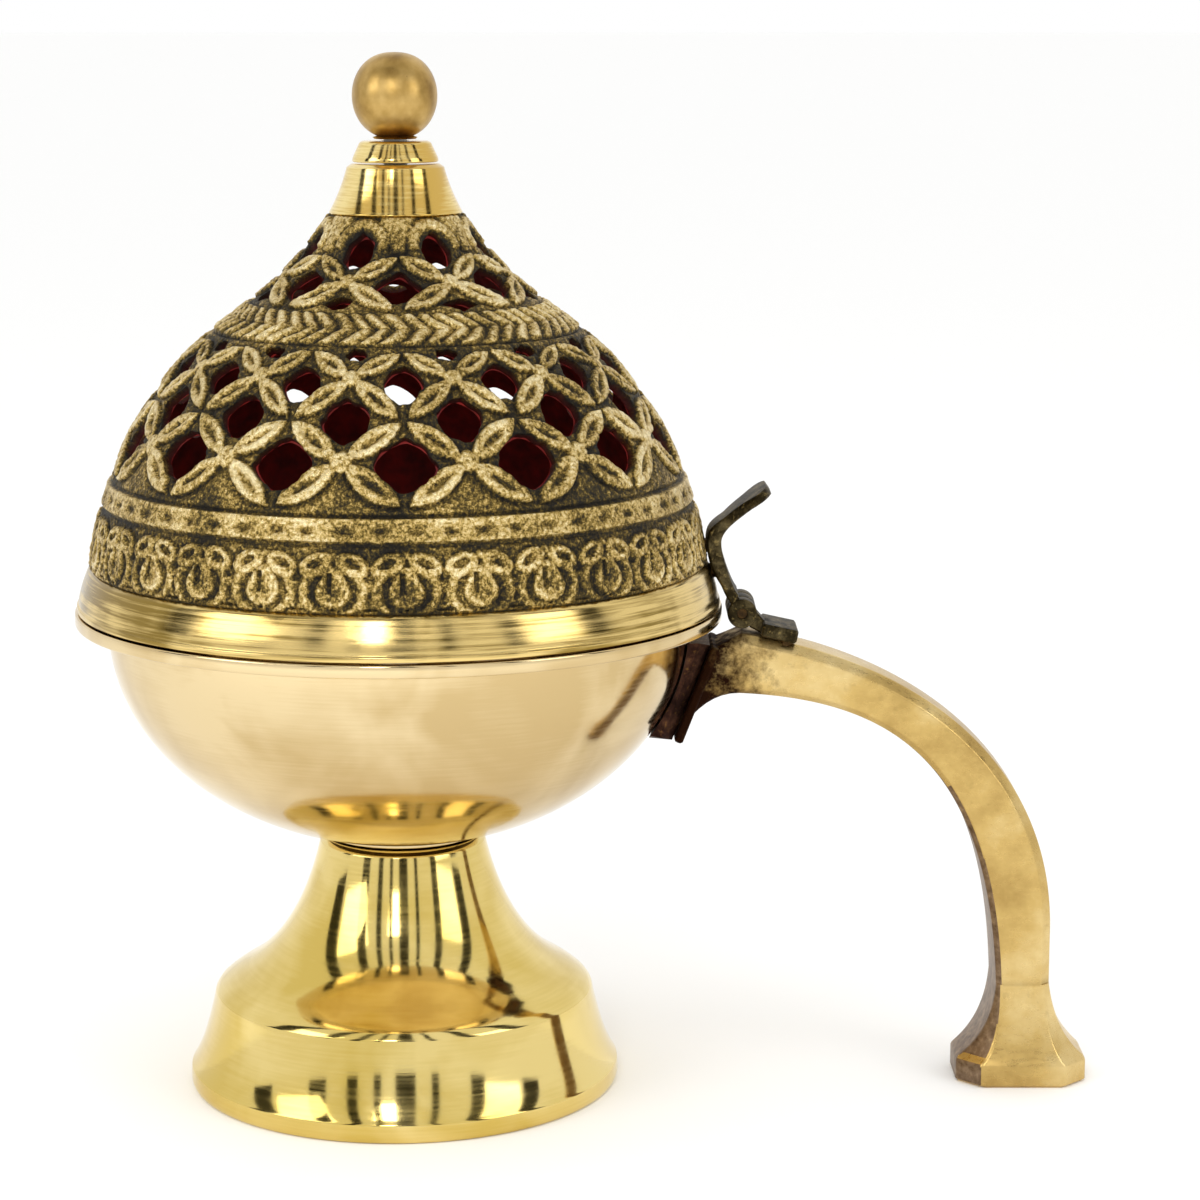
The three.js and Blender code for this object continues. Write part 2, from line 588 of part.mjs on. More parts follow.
function baseLeafRivets() {
  return [-1, 1].map((side) => {
    const length = LEAF_BASE_T + GAP + BASE_RIVET_DEPTH;
    const body = bar(RIVET_R, length, baseRivetTop(side), SEAT_DOWN, 10);
    return piece(side < 0 ? "base_leaf_rivet_near" : "base_leaf_rivet_far", body, "darkBrass");
  });
}

const STRAP_X = BAND_TOP_R + GAP + 0.2; // inner face of the strap where it lies on the dome
const STRAP_TOP = BAND_TOP + 4.6; // where the lever leaves the dome
const TIP = [BAND_TOP_R + 10.9, BAND_TOP + 13.7]; // end of the lever, middle of its thickness

// Side view of the upper leaf: knuckle, strap up the lid, and the lever bent away from it.
function leverShape() {
  const lean = Math.atan2(TIP[1] - STRAP_TOP - 1, TIP[0] - STRAP_X - 1);
  const [nx, nz] = [-Math.sin(lean) * (LEAF_T / 2), Math.cos(lean) * (LEAF_T / 2)];
  const shape = new THREE.Shape();
  shape.moveTo(PIN_X - KNUCKLE_R + 0.1, PIN_Z);
  shape.lineTo(LID_R + GAP + 0.2, LID_Z + 1);
  shape.lineTo(STRAP_X + 0.9, BAND_TOP - 2.4);
  shape.lineTo(STRAP_X, BAND_TOP + 1.2);
  shape.lineTo(STRAP_X, STRAP_TOP);
  shape.quadraticCurveTo(STRAP_X, STRAP_TOP + 2, STRAP_X + 1.6, STRAP_TOP + 3.4);
  shape.lineTo(TIP[0] + nx, TIP[1] + nz);
  shape.lineTo(TIP[0] - nx, TIP[1] - nz);
  shape.lineTo(STRAP_X + 3, STRAP_TOP + 2);
  shape.quadraticCurveTo(STRAP_X + LEAF_T, STRAP_TOP + 1, STRAP_X + LEAF_T, STRAP_TOP - 0.6);
  shape.lineTo(STRAP_X + LEAF_T, BAND_TOP + 1.4);
  shape.lineTo(STRAP_X + LEAF_T + 1, BAND_TOP - 2.2);
  shape.lineTo(PIN_X + 0.6, PIN_Z + KNUCKLE_R - 0.1);
  shape.lineTo(PIN_X, PIN_Z);
  return shape;
}

// Front view of the same leaf: wide at the knuckles, narrow up the lid, spoon-shaped at the tip.
function leverFront() {
  const half = [[HINGE_W / 2, PIN_Z - 4], [HINGE_W / 2, PIN_Z + 4.4], [STRAP_W / 2, BAND_TOP + 1],
    [STRAP_W / 2, STRAP_TOP + 2], [LEVER_W / 2 - 0.9, TIP[1] - 2.6], [LEVER_W / 2, TIP[1] - 0.4],
    [LEVER_W / 2 - 2.4, TIP[1] + 1.4]];
  return polygon([...half, ...half.map(([y, z]) => [-y, z]).reverse()]);
}

function upperLeaf() {
  const slot = MIDDLE_KNUCKLE_W + 2 * KNUCKLE_GAP;
  let leaf = sideProfile(leverShape(), Math.max(LEVER_W, HINGE_W), 4)
    .intersect(frontProfile(leverFront(), TIP[0] + 15))
    .add(knuckle(HINGE_W, -HINGE_W / 2))
    .subtract(knuckle(slot, -slot / 2, KNUCKLE_R + 2 * KNUCKLE_GAP))
    .subtract(pinHole());
  for (const z of LID_RIVET_HEIGHTS) {
    leaf = leaf.subtract(bar(RIVET_R + FIT, 14, [LID_R - 9, 0, z], [1, 0, 0], 10));
  }
  return piece("hinge_lever_leaf", leaf, "darkBrass");
}

// Rivets through the strap and the wall of the lid, headed inside and filed flush outside.
function lidRivets() {
  return LID_RIVET_HEIGHTS.map((z, i) => {
    const head = lidInnerRadius(z) - GAP - 0.5 - RIVET_HEAD_H;
    const flush = STRAP_X + LEAF_T + (z < BAND_TOP ? 0.3 : -0.2);
    const body = bar(RIVET_R, flush - head, [head, 0, z], [1, 0, 0], 10)
      .add(bar(RIVET_HEAD_R - 0.3, RIVET_HEAD_H, [head, 0, z], [1, 0, 0], 10));
    return piece(i ? "lid_rivet_upper" : "lid_rivet_lower", body, "darkBrass");
  });
}

function hingePin() {
  return piece("hinge_pin", knuckle(HINGE_W - 0.6, -HINGE_W / 2 + 0.3, PIN_R), "darkBrass");
}

// ---------------------------------------------------------------- assembly
const AXIS_X = (RIM_R - FOOT_X[1]) / 2; // where the axis of the bowl lies in the part's own frame

const lidGroup = new THREE.Group();
lidGroup.add(makeLid(), ...finial(), upperLeaf(), ...lidRivets());

const standGroup = new THREE.Group();
standGroup.add(makePedestal(), drilledBowl(), ...pedestalFixing(), makeBracket(), makeHandle());
standGroup.add(...handleRivets(), baseLeaf(), ...baseLeafRivets(), hingePin());

lidGroup.position.x = AXIS_X;
standGroup.position.x = AXIS_X;

const burner = new THREE.Group();
burner.add(standGroup, lidGroup);

export default burner;
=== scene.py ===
"""Looks of a brass incense burner: a bowl on a pedestal, a pierced lid hinged over it, and an arched handle.

Sizes are millimetres round the axis of the bowl, with the handle towards +X. Each section makes one piece or
one group of like pieces, with its materials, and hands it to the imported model.
"""
import math

import bmesh
import bpy
import numpy as np
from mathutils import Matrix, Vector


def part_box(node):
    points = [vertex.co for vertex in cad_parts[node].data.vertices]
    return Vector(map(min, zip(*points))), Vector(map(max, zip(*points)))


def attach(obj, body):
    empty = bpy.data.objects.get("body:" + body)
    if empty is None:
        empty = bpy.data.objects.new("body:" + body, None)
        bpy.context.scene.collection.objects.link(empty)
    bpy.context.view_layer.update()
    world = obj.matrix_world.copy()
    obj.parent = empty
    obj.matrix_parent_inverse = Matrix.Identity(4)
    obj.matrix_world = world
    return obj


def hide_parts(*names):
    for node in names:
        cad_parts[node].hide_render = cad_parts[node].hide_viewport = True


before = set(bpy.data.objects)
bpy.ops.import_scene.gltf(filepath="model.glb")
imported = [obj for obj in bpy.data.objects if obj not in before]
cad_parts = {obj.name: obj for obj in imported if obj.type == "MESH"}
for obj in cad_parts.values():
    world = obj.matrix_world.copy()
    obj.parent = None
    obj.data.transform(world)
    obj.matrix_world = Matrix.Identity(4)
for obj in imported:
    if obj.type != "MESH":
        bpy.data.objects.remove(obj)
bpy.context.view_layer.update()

# ---------------------------------------------------------------- bowl
# A cup turned from a brass casting. Outside it is buffed like a mirror, inside it is left dull and grows
# dark with charcoal. Its flat lip takes the lid, and its short neck stands on the pedestal.
MM = 0.001
AXIS_X = (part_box("pedestal")[0].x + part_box("pedestal")[1].x) / 2 / MM
EASE = 0.02  # the looks stay this far inside the solid's outermost faces


def span(node):
    """Lowest and highest x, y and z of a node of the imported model, round the axis of the bowl."""
    low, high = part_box(node)
    shift = np.array([AXIS_X, 0, 0])
    return np.array(low) / MM - shift, np.array(high) / MM - shift


def bezier(*controls, steps=12):
    """Points along the Bezier curve of any number of controls."""
    t = np.linspace(0, 1, steps + 1)[:, None]
    points = [np.array(p, float) for p in controls]
    while len(points) > 1:
        points = [a * (1 - t) + b * t for a, b in zip(points, points[1:])]
    return [tuple(p) for p in points[0]]


def soften(outline, radius, closed=False):
    """The outline with each clear corner turned into a small arc."""
    points = [np.array(p, float) for p in outline]
    count = len(points)
    made = []
    for i, here in enumerate(points):
        if not closed and i in (0, count - 1):
            made.append(tuple(here))
            continue
        back = points[i - 1] - here
        ahead = points[(i + 1) % count] - here
        reach = [np.linalg.norm(back), np.linalg.norm(ahead)]
        straight = -np.dot(back, ahead) / (reach[0] * reach[1])
        if straight > math.cos(math.radians(15)):
            made.append(tuple(here))
            continue
        cut = min(radius, 0.45 * reach[0], 0.45 * reach[1])
        made += bezier(here + back / reach[0] * cut, here, here + ahead / reach[1] * cut, steps=3)
    return made


def quads_between(rings, size):
    """Four-sided faces that join rings of as many points each, one after another."""
    faces = []
    for i in range(rings - 1):
        for j in range(size):
            k = (j + 1) % size
            faces.append((i * size + j, i * size + k, (i + 1) * size + k, (i + 1) * size + j))
    return faces


def turned(outline, turns=192):
    """Vertices and faces of [radius, height] points turned about Z. The outline runs up the outside."""
    points = np.array(outline)
    angle = np.arange(turns) * 2 * math.pi / turns
    across = points[:, 0, None] * np.cos(angle)
    along = points[:, 0, None] * np.sin(angle)
    height = np.repeat(points[:, 1, None], turns, axis=1)
    vertices = np.stack([across, along, height], axis=-1).reshape(-1, 3)
    return vertices, quads_between(len(points), turns)


def in_scene(name, data):
    """An object of a mesh, a lamp or a camera, put into the scene."""
    made = bpy.data.objects.new(name, data)
    bpy.context.scene.collection.objects.link(made)
    return made


def piece(name, parts, materials, sharp=35, inside=None):
    """A mesh object of (vertices, faces) parts. inside says which faces take the second material."""
    vertices = np.concatenate([v for v, _ in parts])
    faces = []
    start = 0
    for part_vertices, part_faces in parts:
        faces += [tuple(start + i for i in face) for face in part_faces]
        start += len(part_vertices)
    mesh = bpy.data.meshes.new(name)
    mesh.from_pydata((vertices * MM).tolist(), [], faces)
    solid = bmesh.new()
    solid.from_mesh(mesh)
    bmesh.ops.remove_doubles(solid, verts=solid.verts, dist=1e-3 * MM)
    bmesh.ops.dissolve_degenerate(solid, edges=solid.edges, dist=1e-4 * MM)
    solid.to_mesh(mesh)
    solid.free()
    for material in materials:
        mesh.materials.append(material)
    if inside:
        for face in mesh.polygons:
            face.material_index = int(inside(face.center / MM, face.normal))
    mesh.shade_smooth()
    mesh.set_sharp_from_angle(angle=math.radians(sharp))
    made = in_scene(name, mesh)
    made.location.x = AXIS_X * MM
    return made


def hand_over(made, body, slot, *nodes):
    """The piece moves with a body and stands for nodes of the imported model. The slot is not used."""
    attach(made, body)
    if nodes:
        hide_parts(*nodes)


def linear(colour):
    """A hex sRGB colour as linear red, green, blue and alpha."""
    parts = [int(colour[i:i + 2], 16) / 255 for i in (1, 3, 5)]
    return [c / 12.92 if c <= 0.04045 else ((c + 0.055) / 1.055) ** 2.4 for c in parts] + [1]


def add_node(tree, kind, settings=None, links=None):
    """Adds a shader node. Settings are its properties, its inputs' values and a ramp's stops."""
    node = tree.nodes.new("ShaderNode" + kind)
    for key, value in (settings or {}).items():
        if key == "stops":
            while len(node.color_ramp.elements) < len(value):
                node.color_ramp.elements.new(1)
            for element, (place, colour) in zip(node.color_ramp.elements, value):
                element.position = place
                element.color = linear(colour)
        elif isinstance(key, str) and hasattr(node, key):
            setattr(node, key, value)
        else:
            node.inputs[key].default_value = value
    join(tree, node, links or {})
    return node


def join(tree, node, links):
    """Feeds inputs of a node, each from an output or from another node's first output."""
    for key, source in links.items():
        tree.links.new(getattr(source, "outputs", [source])[0], node.inputs[key])


def new_material(name, metallic=1):
    """An empty material with its node tree and its shader."""
    material = bpy.data.materials.new(name)
    material.use_nodes = True
    tree = material.node_tree
    shader = tree.nodes["Principled BSDF"]
    shader.inputs["Metallic"].default_value = metallic
    return material, tree, shader


def polished_brass(name, pale, deep, roughness, groove, streak, depth=0.12):
    """Brass turned on a lathe and buffed: almost a mirror, with hair-fine rings and a drifting warm tint.

    groove is the spacing of the rings and streak the length of a buffing mark, both in mm. depth is how
    strongly the rings show."""
    material, tree, shader = new_material(name)
    place = {"Vector": add_node(tree, "TexCoord").outputs["Object"]}
    stretch = (1 / (streak * MM), 1 / (streak * MM), 1 / (groove * MM))
    rings = add_node(tree, "Mapping", {"Scale": stretch}, place)
    marks = add_node(tree, "TexNoise", {"Scale": 1, "Detail": 4, "Roughness": 0.6}, {"Vector": rings})
    clouds = add_node(tree, "TexNoise", {"Scale": 1 / (22 * MM), "Detail": 3, "Distortion": 0.6}, place)
    lines = add_node(tree, "Math", {"operation": "MULTIPLY_ADD", 1: 1.6 * depth, 2: -0.8 * depth},
                     {0: marks})
    mottle = add_node(tree, "Math", {"operation": "ADD"}, {0: clouds, 1: lines})
    tint = add_node(tree, "ValToRGB", {"stops": [(0.36, deep), (0.62, pale)]}, {"Fac": mottle})
    gloss = add_node(tree, "MapRange", {"From Min": 0.35, "From Max": 0.7, "To Min": roughness * 0.75,
                                        "To Max": roughness * 1.5}, {"Value": marks})
    bump = add_node(tree, "Bump", {"Strength": depth, "Distance": 0.02 * MM}, {"Height": marks})
    join(tree, shader, {"Base Color": tint, "Roughness": gloss, "Normal": bump})
    return material


def mottled(name, stops, roughness, size=1.6, detail=6, grain=0.65, strength=0.25, depth=0.04, metallic=1):
    """A dull metal or coat with blotches of a size in mm, which also stand out by a depth in mm."""
    material, tree, shader = new_material(name, metallic)
    place = {"Vector": add_node(tree, "TexCoord").outputs["Object"]}
    blotches = {"Scale": 1 / (size * MM), "Detail": detail, "Roughness": grain}
    blotch = add_node(tree, "TexNoise", blotches, place)
    tint = add_node(tree, "ValToRGB", {"stops": stops}, {"Fac": blotch})
    bump = add_node(tree, "Bump", {"Strength": strength, "Distance": depth * MM}, {"Height": blotch})
    shader.inputs["Roughness"].default_value = roughness
    join(tree, shader, {"Base Color": tint, "Normal": bump})
    return material


bowl_low, bowl_high = span("bowl")
RIM_R = bowl_high[1] - EASE
LIP_TOP = bowl_high[2]
BOWL_FOOT = bowl_low[2]
LIP_T = 2.2
BOWL_R = 51.3
BOWL_DEPTH = 39.4
BOWL_CENTRE = LIP_TOP - LIP_T - 0.8
BOWL_WALL = 1.1
BOWL_FLOOR = BOWL_FOOT + 2.6
BOSS_R = 14
BOLT_HOLE_R = 2.65


def bowl_arc(offset, from_radius, steps):
    """The bowl's ellipse, grown by an offset, from a radius near its foot up to its widest level."""
    start = math.asin(from_radius / (BOWL_R + offset))
    return [((BOWL_R + offset) * math.sin(a), BOWL_CENTRE - (BOWL_DEPTH + offset) * math.cos(a))
            for a in np.linspace(start, math.pi / 2, steps + 1)]


bowl_inside = [p for p in bowl_arc(-BOWL_WALL, BOSS_R, 60) if p[1] > BOWL_FLOOR]
bowl_outline = (
    [(BOLT_HOLE_R, BOWL_FOOT), (BOSS_R, BOWL_FOOT), (BOSS_R, BOWL_FOOT + 0.9)]
    + bezier((BOSS_R + 0.1, BOWL_FOOT + 1), (BOSS_R + 0.5, BOWL_FOOT + 1.6), (BOSS_R + 2.2, BOWL_FOOT + 1.3),
             steps=5)
    + bowl_arc(0, BOSS_R + 3, 72)
    + [(BOWL_R + 0.1, LIP_TOP - LIP_T - 0.2), (BOWL_R + 0.7, LIP_TOP - LIP_T), (RIM_R, LIP_TOP - LIP_T),
       (RIM_R, LIP_TOP), (BOWL_R - BOWL_WALL, LIP_TOP)]
    + bowl_inside[::-1]
    + [(bowl_inside[0][0] - 2, BOWL_FLOOR), (BOLT_HOLE_R, BOWL_FLOOR), (BOLT_HOLE_R, BOWL_FOOT)]
)
bowl_brass = polished_brass("brass, turned and mirror buffed", "#dfc99c", "#c8ae7c", 0.12, 0.35, 12)
sooted = mottled("brass, cast and sooted", [(0.3, "#1c140d"), (0.55, "#4d3a1f"), (0.78, "#9a7a3e")],
                 0.55, 6, 8, 0.7, 0.3, 0.1)


def bowl_is_sooted(at, normal):
    """Whether a face of the cup is on its dull inside."""
    facing_in = at.x * normal.x + at.y * normal.y < 0
    return math.hypot(at.x, at.y) < BOWL_R - 0.9 and facing_in or normal.z > 0.7 and at.z < LIP_TOP - 20


bowl = piece("bowl_cup", [turned(soften(bowl_outline, 0.35))], [bowl_brass, sooted], inside=bowl_is_sooted)
hand_over(bowl, "stand", "polished_brass", "bowl")

# ---------------------------------------------------------------- pedestal
# A hollow casting turned outside: a skirt, a sharp shoulder and a trumpet flare up to a solid web that the
# bolt clamps. Its buffed brass is set a deeper yellow than the bowl's; that extra yellow is a painted reflection
# of the bowl.
pedestal_high = span("pedestal")[1]
PEDESTAL_R = pedestal_high[1] - EASE
PEDESTAL_TOP = pedestal_high[2]
PEDESTAL_NECK_R = 14.8
SHOULDER_R = 33.6
SHOULDER_Z = 17.6
PEDESTAL_WALL = 1.4
PEDESTAL_WEB = 3.5


def inset(points, wall):
    """The [radius, height] points moved towards the inside by a wall thickness."""
    track = np.array(points)
    way = np.gradient(track, axis=0)
    way /= np.linalg.norm(way, axis=1)[:, None]
    return [tuple(p) for p in track + wall * np.stack([-way[:, 1], way[:, 0]], axis=1)]


pedestal_skirt = bezier((PEDESTAL_R - 0.1, 3.4), (PEDESTAL_R - 2, 6), (SHOULDER_R + 1.4, SHOULDER_Z - 6),
                        (SHOULDER_R + 0.3, SHOULDER_Z - 0.6), steps=24)
shelf_edge = (SHOULDER_R - 5, SHOULDER_Z + 3.6)
pedestal_flare = (
    bezier((SHOULDER_R, SHOULDER_Z), (SHOULDER_R - 1.4, SHOULDER_Z + 1.5), shelf_edge, steps=10)
    + bezier(shelf_edge, (SHOULDER_R - 9.4, SHOULDER_Z + 6.4), (PEDESTAL_NECK_R + 3.4, SHOULDER_Z + 12),
             (PEDESTAL_NECK_R, PEDESTAL_TOP - 1), steps=40)[1:]
)
pedestal_outside = (
    bezier((PEDESTAL_R - 0.9, 0), (PEDESTAL_R, 0.2), (PEDESTAL_R, 1.6), steps=6)
    + pedestal_skirt + pedestal_flare[1:] + [(PEDESTAL_NECK_R - 0.8, PEDESTAL_TOP)]
)
web_bottom = PEDESTAL_TOP - PEDESTAL_WEB
pedestal_inside = inset(pedestal_skirt + pedestal_flare[1:], PEDESTAL_WALL)
pedestal_hollow = [p for p in pedestal_inside if 3 < p[1] < web_bottom - 2]
pedestal_outline = (
    pedestal_outside
    + [(BOLT_HOLE_R, PEDESTAL_TOP), (BOLT_HOLE_R, web_bottom), (pedestal_hollow[-1][0] - 0.6, web_bottom)]
    + pedestal_hollow[::-1] + [(PEDESTAL_R - PEDESTAL_WALL - 1, 0), pedestal_outside[0]]
)
# Brass tint made deeper yellow than the bowl's: a painted reflection of the yellow bowl above it.
pedestal_brass = polished_brass("brass, turned, painted yellow reflection", "#e8d086", "#d3b75f", 0.09, 0.5, 16)


def pedestal_is_sooted(at, normal):
    """Whether a face of the casting is in its hollow."""
    return at.x * normal.x + at.y * normal.y < 0 and at.z < web_bottom + 0.1


pedestal = piece("pedestal_casting", [turned(soften(pedestal_outline, 0.2))], [pedestal_brass, sooted], sharp=24,
                 inside=pedestal_is_sooted)
hand_over(pedestal, "stand", "polished_brass", "pedestal")

# ---------------------------------------------------------------- bolt, washer, nuts and stud
# Bought fasteners, out of sight: a dark brass bolt and washer in the bowl, and steel nuts with a threaded
# stud for the finial. Their edges are eased as rolled and pressed parts are.


def kept(material, ease, *nodes):
    """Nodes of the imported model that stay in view, with a material of their own and eased edges."""
    for node in nodes:
        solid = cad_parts[node]
        solid.data.materials.clear()
        solid.data.materials.append(material)
        edge = solid.modifiers.new("eased edges", "BEVEL")
        edge.width = ease * MM
        edge.segments = 2
        edge.limit_method = "ANGLE"
        edge.angle_limit = math.radians(40)


zinc_steel = mottled("steel, zinc plated", [(0.3, "#7d7f80"), (0.7, "#bcbdb9")], 0.35)
dark_bolt = mottled("brass, blackened", [(0.3, "#2a2016"), (0.7, "#5c4526")], 0.5)
kept(zinc_steel, 0.12, "pedestal_nut", "finial_nut", "finial_stud")
kept(dark_bolt, 0.12, "pedestal_bolt", "pedestal_washer")

# ---------------------------------------------------------------- bracket
# A cast block brazed to the side of the bowl, hollowed to its curve, that the handle's flange is riveted on.
# The torch has left it red-brown to black, with bare brass along its filed chamfers.
FLANGE_LOW = np.array([48.4, 63.4])
FLANGE_HIGH = np.array([55, 80.4])
FLANGE_LENGTH = np.linalg.norm(FLANGE_HIGH - FLANGE_LOW)
FLANGE_UP = (FLANGE_HIGH - FLANGE_LOW) / FLANGE_LENGTH
FLANGE_OUT = np.array([FLANGE_UP[1], -FLANGE_UP[0]])
FLANGE_T = 1.6
FLANGE_W = 15
SEAM = 0.3
BRACKET_W = 17
BRACKET_CHAMFER = 2


def flange_point(up, out):
    """A point up along the flange's inner face, and out from it, in X and Z."""
    return FLANGE_LOW + FLANGE_UP * up + FLANGE_OUT * out


def lofted(rings):
    """Vertices and faces of a solid through rings of as many points each, closed at both ends."""
    track = np.array(rings)
    count, size = track.shape[:2]
    ends = [tuple(range(size))[::-1], tuple(range((count - 1) * size, count * size))]
    return track.reshape(-1, 3), quads_between(count, size) + ends


def bracket_ring(y, back):
    """Side outline of the block at a distance from its middle, with the flange side drawn back."""
    low = flange_point(0, -SEAM - back)
    high = flange_point(FLANGE_LENGTH, -SEAM - back)
    levels = np.linspace(high[1], low[1] + 0.4, 16)
    share = (BOWL_CENTRE - levels) / (BOWL_DEPTH + SEAM)
    round_bowl = (BOWL_R + SEAM) * np.sqrt(1 - share ** 2)
    curve = np.sqrt(round_bowl ** 2 - y ** 2)
    outline = [low, high] + [np.array([x, z]) for x, z in zip(curve, levels)]
    return [(p[0], y, p[1]) for p in outline]


def heat_stained_brass(name, edge_colour, oxides):
    """Brass after the brazing torch: black and red-brown oxide, rubbed to metal on edges and high grains."""
    material, tree, shader = new_material(name)
    place = {"Vector": add_node(tree, "TexCoord").outputs["Object"]}
    scale = add_node(tree, "TexNoise", {"Scale": 1 / (4 * MM), "Detail": 8, "Roughness": 0.7}, place)
    oxide = add_node(tree, "ValToRGB", {"stops": oxides}, {"Fac": scale})
    edges = add_node(tree, "NewGeometry").outputs["Pointiness"]
    worn = add_node(tree, "MapRange", {"From Min": 0.66, "From Max": 0.86, "To Max": 0.5},
                    {"Value": edges})
    grit = add_node(tree, "TexNoise", {"Scale": 1 / (0.9 * MM), "Detail": 5, "Roughness": 0.7}, place)
    speck = add_node(tree, "MapRange", {"From Min": 0.56, "From Max": 0.72, "To Max": 0.5}, {"Value": grit})
    bare = add_node(tree, "Math", {"operation": "ADD", "use_clamp": True},
                    {0: worn, 1: speck})
    tint = add_node(tree, "Mix", {"data_type": "RGBA", 7: linear(edge_colour)},
                    {0: bare, 6: oxide})
    gloss = add_node(tree, "MapRange", {"To Min": 0.55, "To Max": 0.3}, {"Value": bare})
    bump = add_node(tree, "Bump", {"Strength": 0.5, "Distance": 0.15 * MM}, {"Height": grit})
    join(tree, shader, {"Base Color": tint.outputs[2], "Roughness": gloss, "Normal": bump})
    return material


stained = heat_stained_brass("brass, cast and torch stained", "#8a6433",
                             [(0.3, "#120b08"), (0.48, "#33201a"), (0.62, "#54382a"), (0.8, "#75643d")])
half = BRACKET_W / 2
bracket_stations = [(half, BRACKET_CHAMFER), (half - BRACKET_CHAMFER, 0)]
bracket_rings = [bracket_ring(-y, back) for y, back in bracket_stations]
flat_half = half - BRACKET_CHAMFER
bracket_rings += [bracket_ring(y, 0) for y in np.linspace(-flat_half, flat_half, 9)[1:-1]]
bracket_rings += [bracket_ring(y, back) for y, back in bracket_stations[::-1]]
filed = mottled("brass, filed chamfer", [(0.3, "#6b5a2b"), (0.55, "#a48c4b"), (0.75, "#cdb36c")], 0.42)
bracket = piece("bracket_block", [lofted(bracket_rings)], [stained, filed], sharp=25,
                inside=lambda at, normal: abs(normal.y) > 0.3 and normal.x > 0.3)
hand_over(bracket, "stand", "dark_brass", "bowl_bracket")

# ---------------------------------------------------------------- handle
# A forged brass bar, filed to chamfers along its edges and rubbed to a satin. It springs from a leaning
# flange, arches over and comes straight down to a spread foot with eight sides.
handle_high = span("handle")[1]
HANDLE_HALF = 5.5
SEAT_START = (60.4, 82.2)
SEAT_END = (71, 79.9)
LEG_X = (106.4, 116)
FOOT_X = (99.6, handle_high[0] - EASE)
LEG_FOOT_Z = 18.5
FOOT_EDGE = 3.6
FOOT_HALF = handle_high[1] - EASE
LEG_HALF = 6.5


def bar_ring(inner, outer, half_width, inner_cut, outer_cut, ease=0.4):
    """Section of a bar between two points in X and Z: a rectangle with its corners cut and the cuts eased."""
    inner = np.array(inner, float)
    depth = np.linalg.norm(np.array(outer) - inner)
    up = (np.array(outer) - inner) / depth
    corners = [(half_width, inner_cut), (half_width, depth - outer_cut), (half_width - outer_cut, depth),
               (-half_width + outer_cut, depth), (-half_width, depth - outer_cut), (-half_width, inner_cut),
               (-half_width + inner_cut, 0), (half_width - inner_cut, 0)]
    ring = soften(corners, ease, closed=True)
    return [(inner[0] + up[0] * rise, across, inner[1] + up[1] * rise) for across, rise in ring]


def evenly(points, count):
    """Points set evenly along a path."""
    track = np.array(points)
    gone = np.concatenate([[0], np.cumsum(np.linalg.norm(np.diff(track, axis=0), axis=1))])
    where = np.linspace(0, gone[-1], count)
    return np.stack([np.interp(where, gone, track[:, 0]), np.interp(where, gone, track[:, 1])], axis=1)


def half_width_at(z):
    """Half the bar's width at a height: narrow at the arch, wider down the leg."""
    return float(np.interp(z, [28, 58], [LEG_HALF, HANDLE_HALF]))


ROOT = 9
root_outer = evenly([flange_point(FLANGE_LENGTH - 0.4, 0.6), SEAT_START], ROOT)
root_inner = evenly(bezier(flange_point(2.4, 0.6), (54.4, 71.6), (60, 71.5), steps=20), ROOT)
arch_curve = bezier(SEAT_END, (96, 73.2), (LEG_X[1] + 0.6, 56), (LEG_X[1], 27), steps=60)
arch_outer = evenly([SEAT_START] + arch_curve + [(LEG_X[1], LEG_FOOT_Z)], 84)
arch_inner = evenly(bezier((60, 71.5), (85, 70.3), (104.6, 61), (LEG_X[0], LEG_FOOT_Z), steps=80), 84)
foot_top = FOOT_EDGE + 1.2
foot_outer = bezier((LEG_X[1], LEG_FOOT_Z), (LEG_X[1] + 1.2, 9.5), (FOOT_X[1] - 0.4, foot_top), steps=16)
foot_inner = bezier((LEG_X[0], LEG_FOOT_Z), (LEG_X[0] - 0.6, 9.5), (FOOT_X[0] + 0.4, foot_top), steps=16)
handle_rings = []
for i, (inner, outer) in enumerate(zip(root_inner, root_outer)):
    flare = 1.6 * (1 - i / (ROOT - 1)) ** 2.5
    handle_rings.append(bar_ring(inner, outer, HANDLE_HALF + flare, 0.8, 1.1))
for inner, outer in list(zip(arch_inner, arch_outer))[1:]:
    middle = (inner[1] + outer[1]) / 2
    handle_rings.append(bar_ring(inner, outer, half_width_at(middle), 1, 1.6, 0.22))
for i, (inner, outer) in enumerate(zip(foot_inner, foot_outer)):
    share = i / (len(foot_outer) - 1)
    spread = LEG_HALF + (FOOT_HALF - 0.3 - LEG_HALF) * share ** 1.25
    cut = 1.3 + 3.1 * share ** 1.4
    handle_rings.append(bar_ring(inner, outer, spread, 0.8 + (cut - 1.3) * 1.16, cut))
for height, out in ((foot_top - 0.5, 0.1), (foot_top - 0.9, 0), (0.5, 0), (0, 0.5)):
    heel, toe = (FOOT_X[0] + out, height), (FOOT_X[1] - out, height)
    handle_rings.append(bar_ring(heel, toe, FOOT_HALF - out, 4.2, 4.2))


def plate(low_middle, long_way, thick_way, length, thickness, half_width, ease=0.35):
    """A flat plate with eased edges, from the middle of its lower inner edge."""
    rings = []
    for share in (0, ease * 0.3, ease, length - ease, length - ease * 0.3, length):
        pull = max(0, ease - min(share, length - share)) * 0.8
        at = low_middle + long_way * share
        rings.append(bar_ring(at + thick_way * pull, at + thick_way * (thickness - pull), half_width - pull,
                              ease, ease, ease * 0.4))
    return lofted(rings)


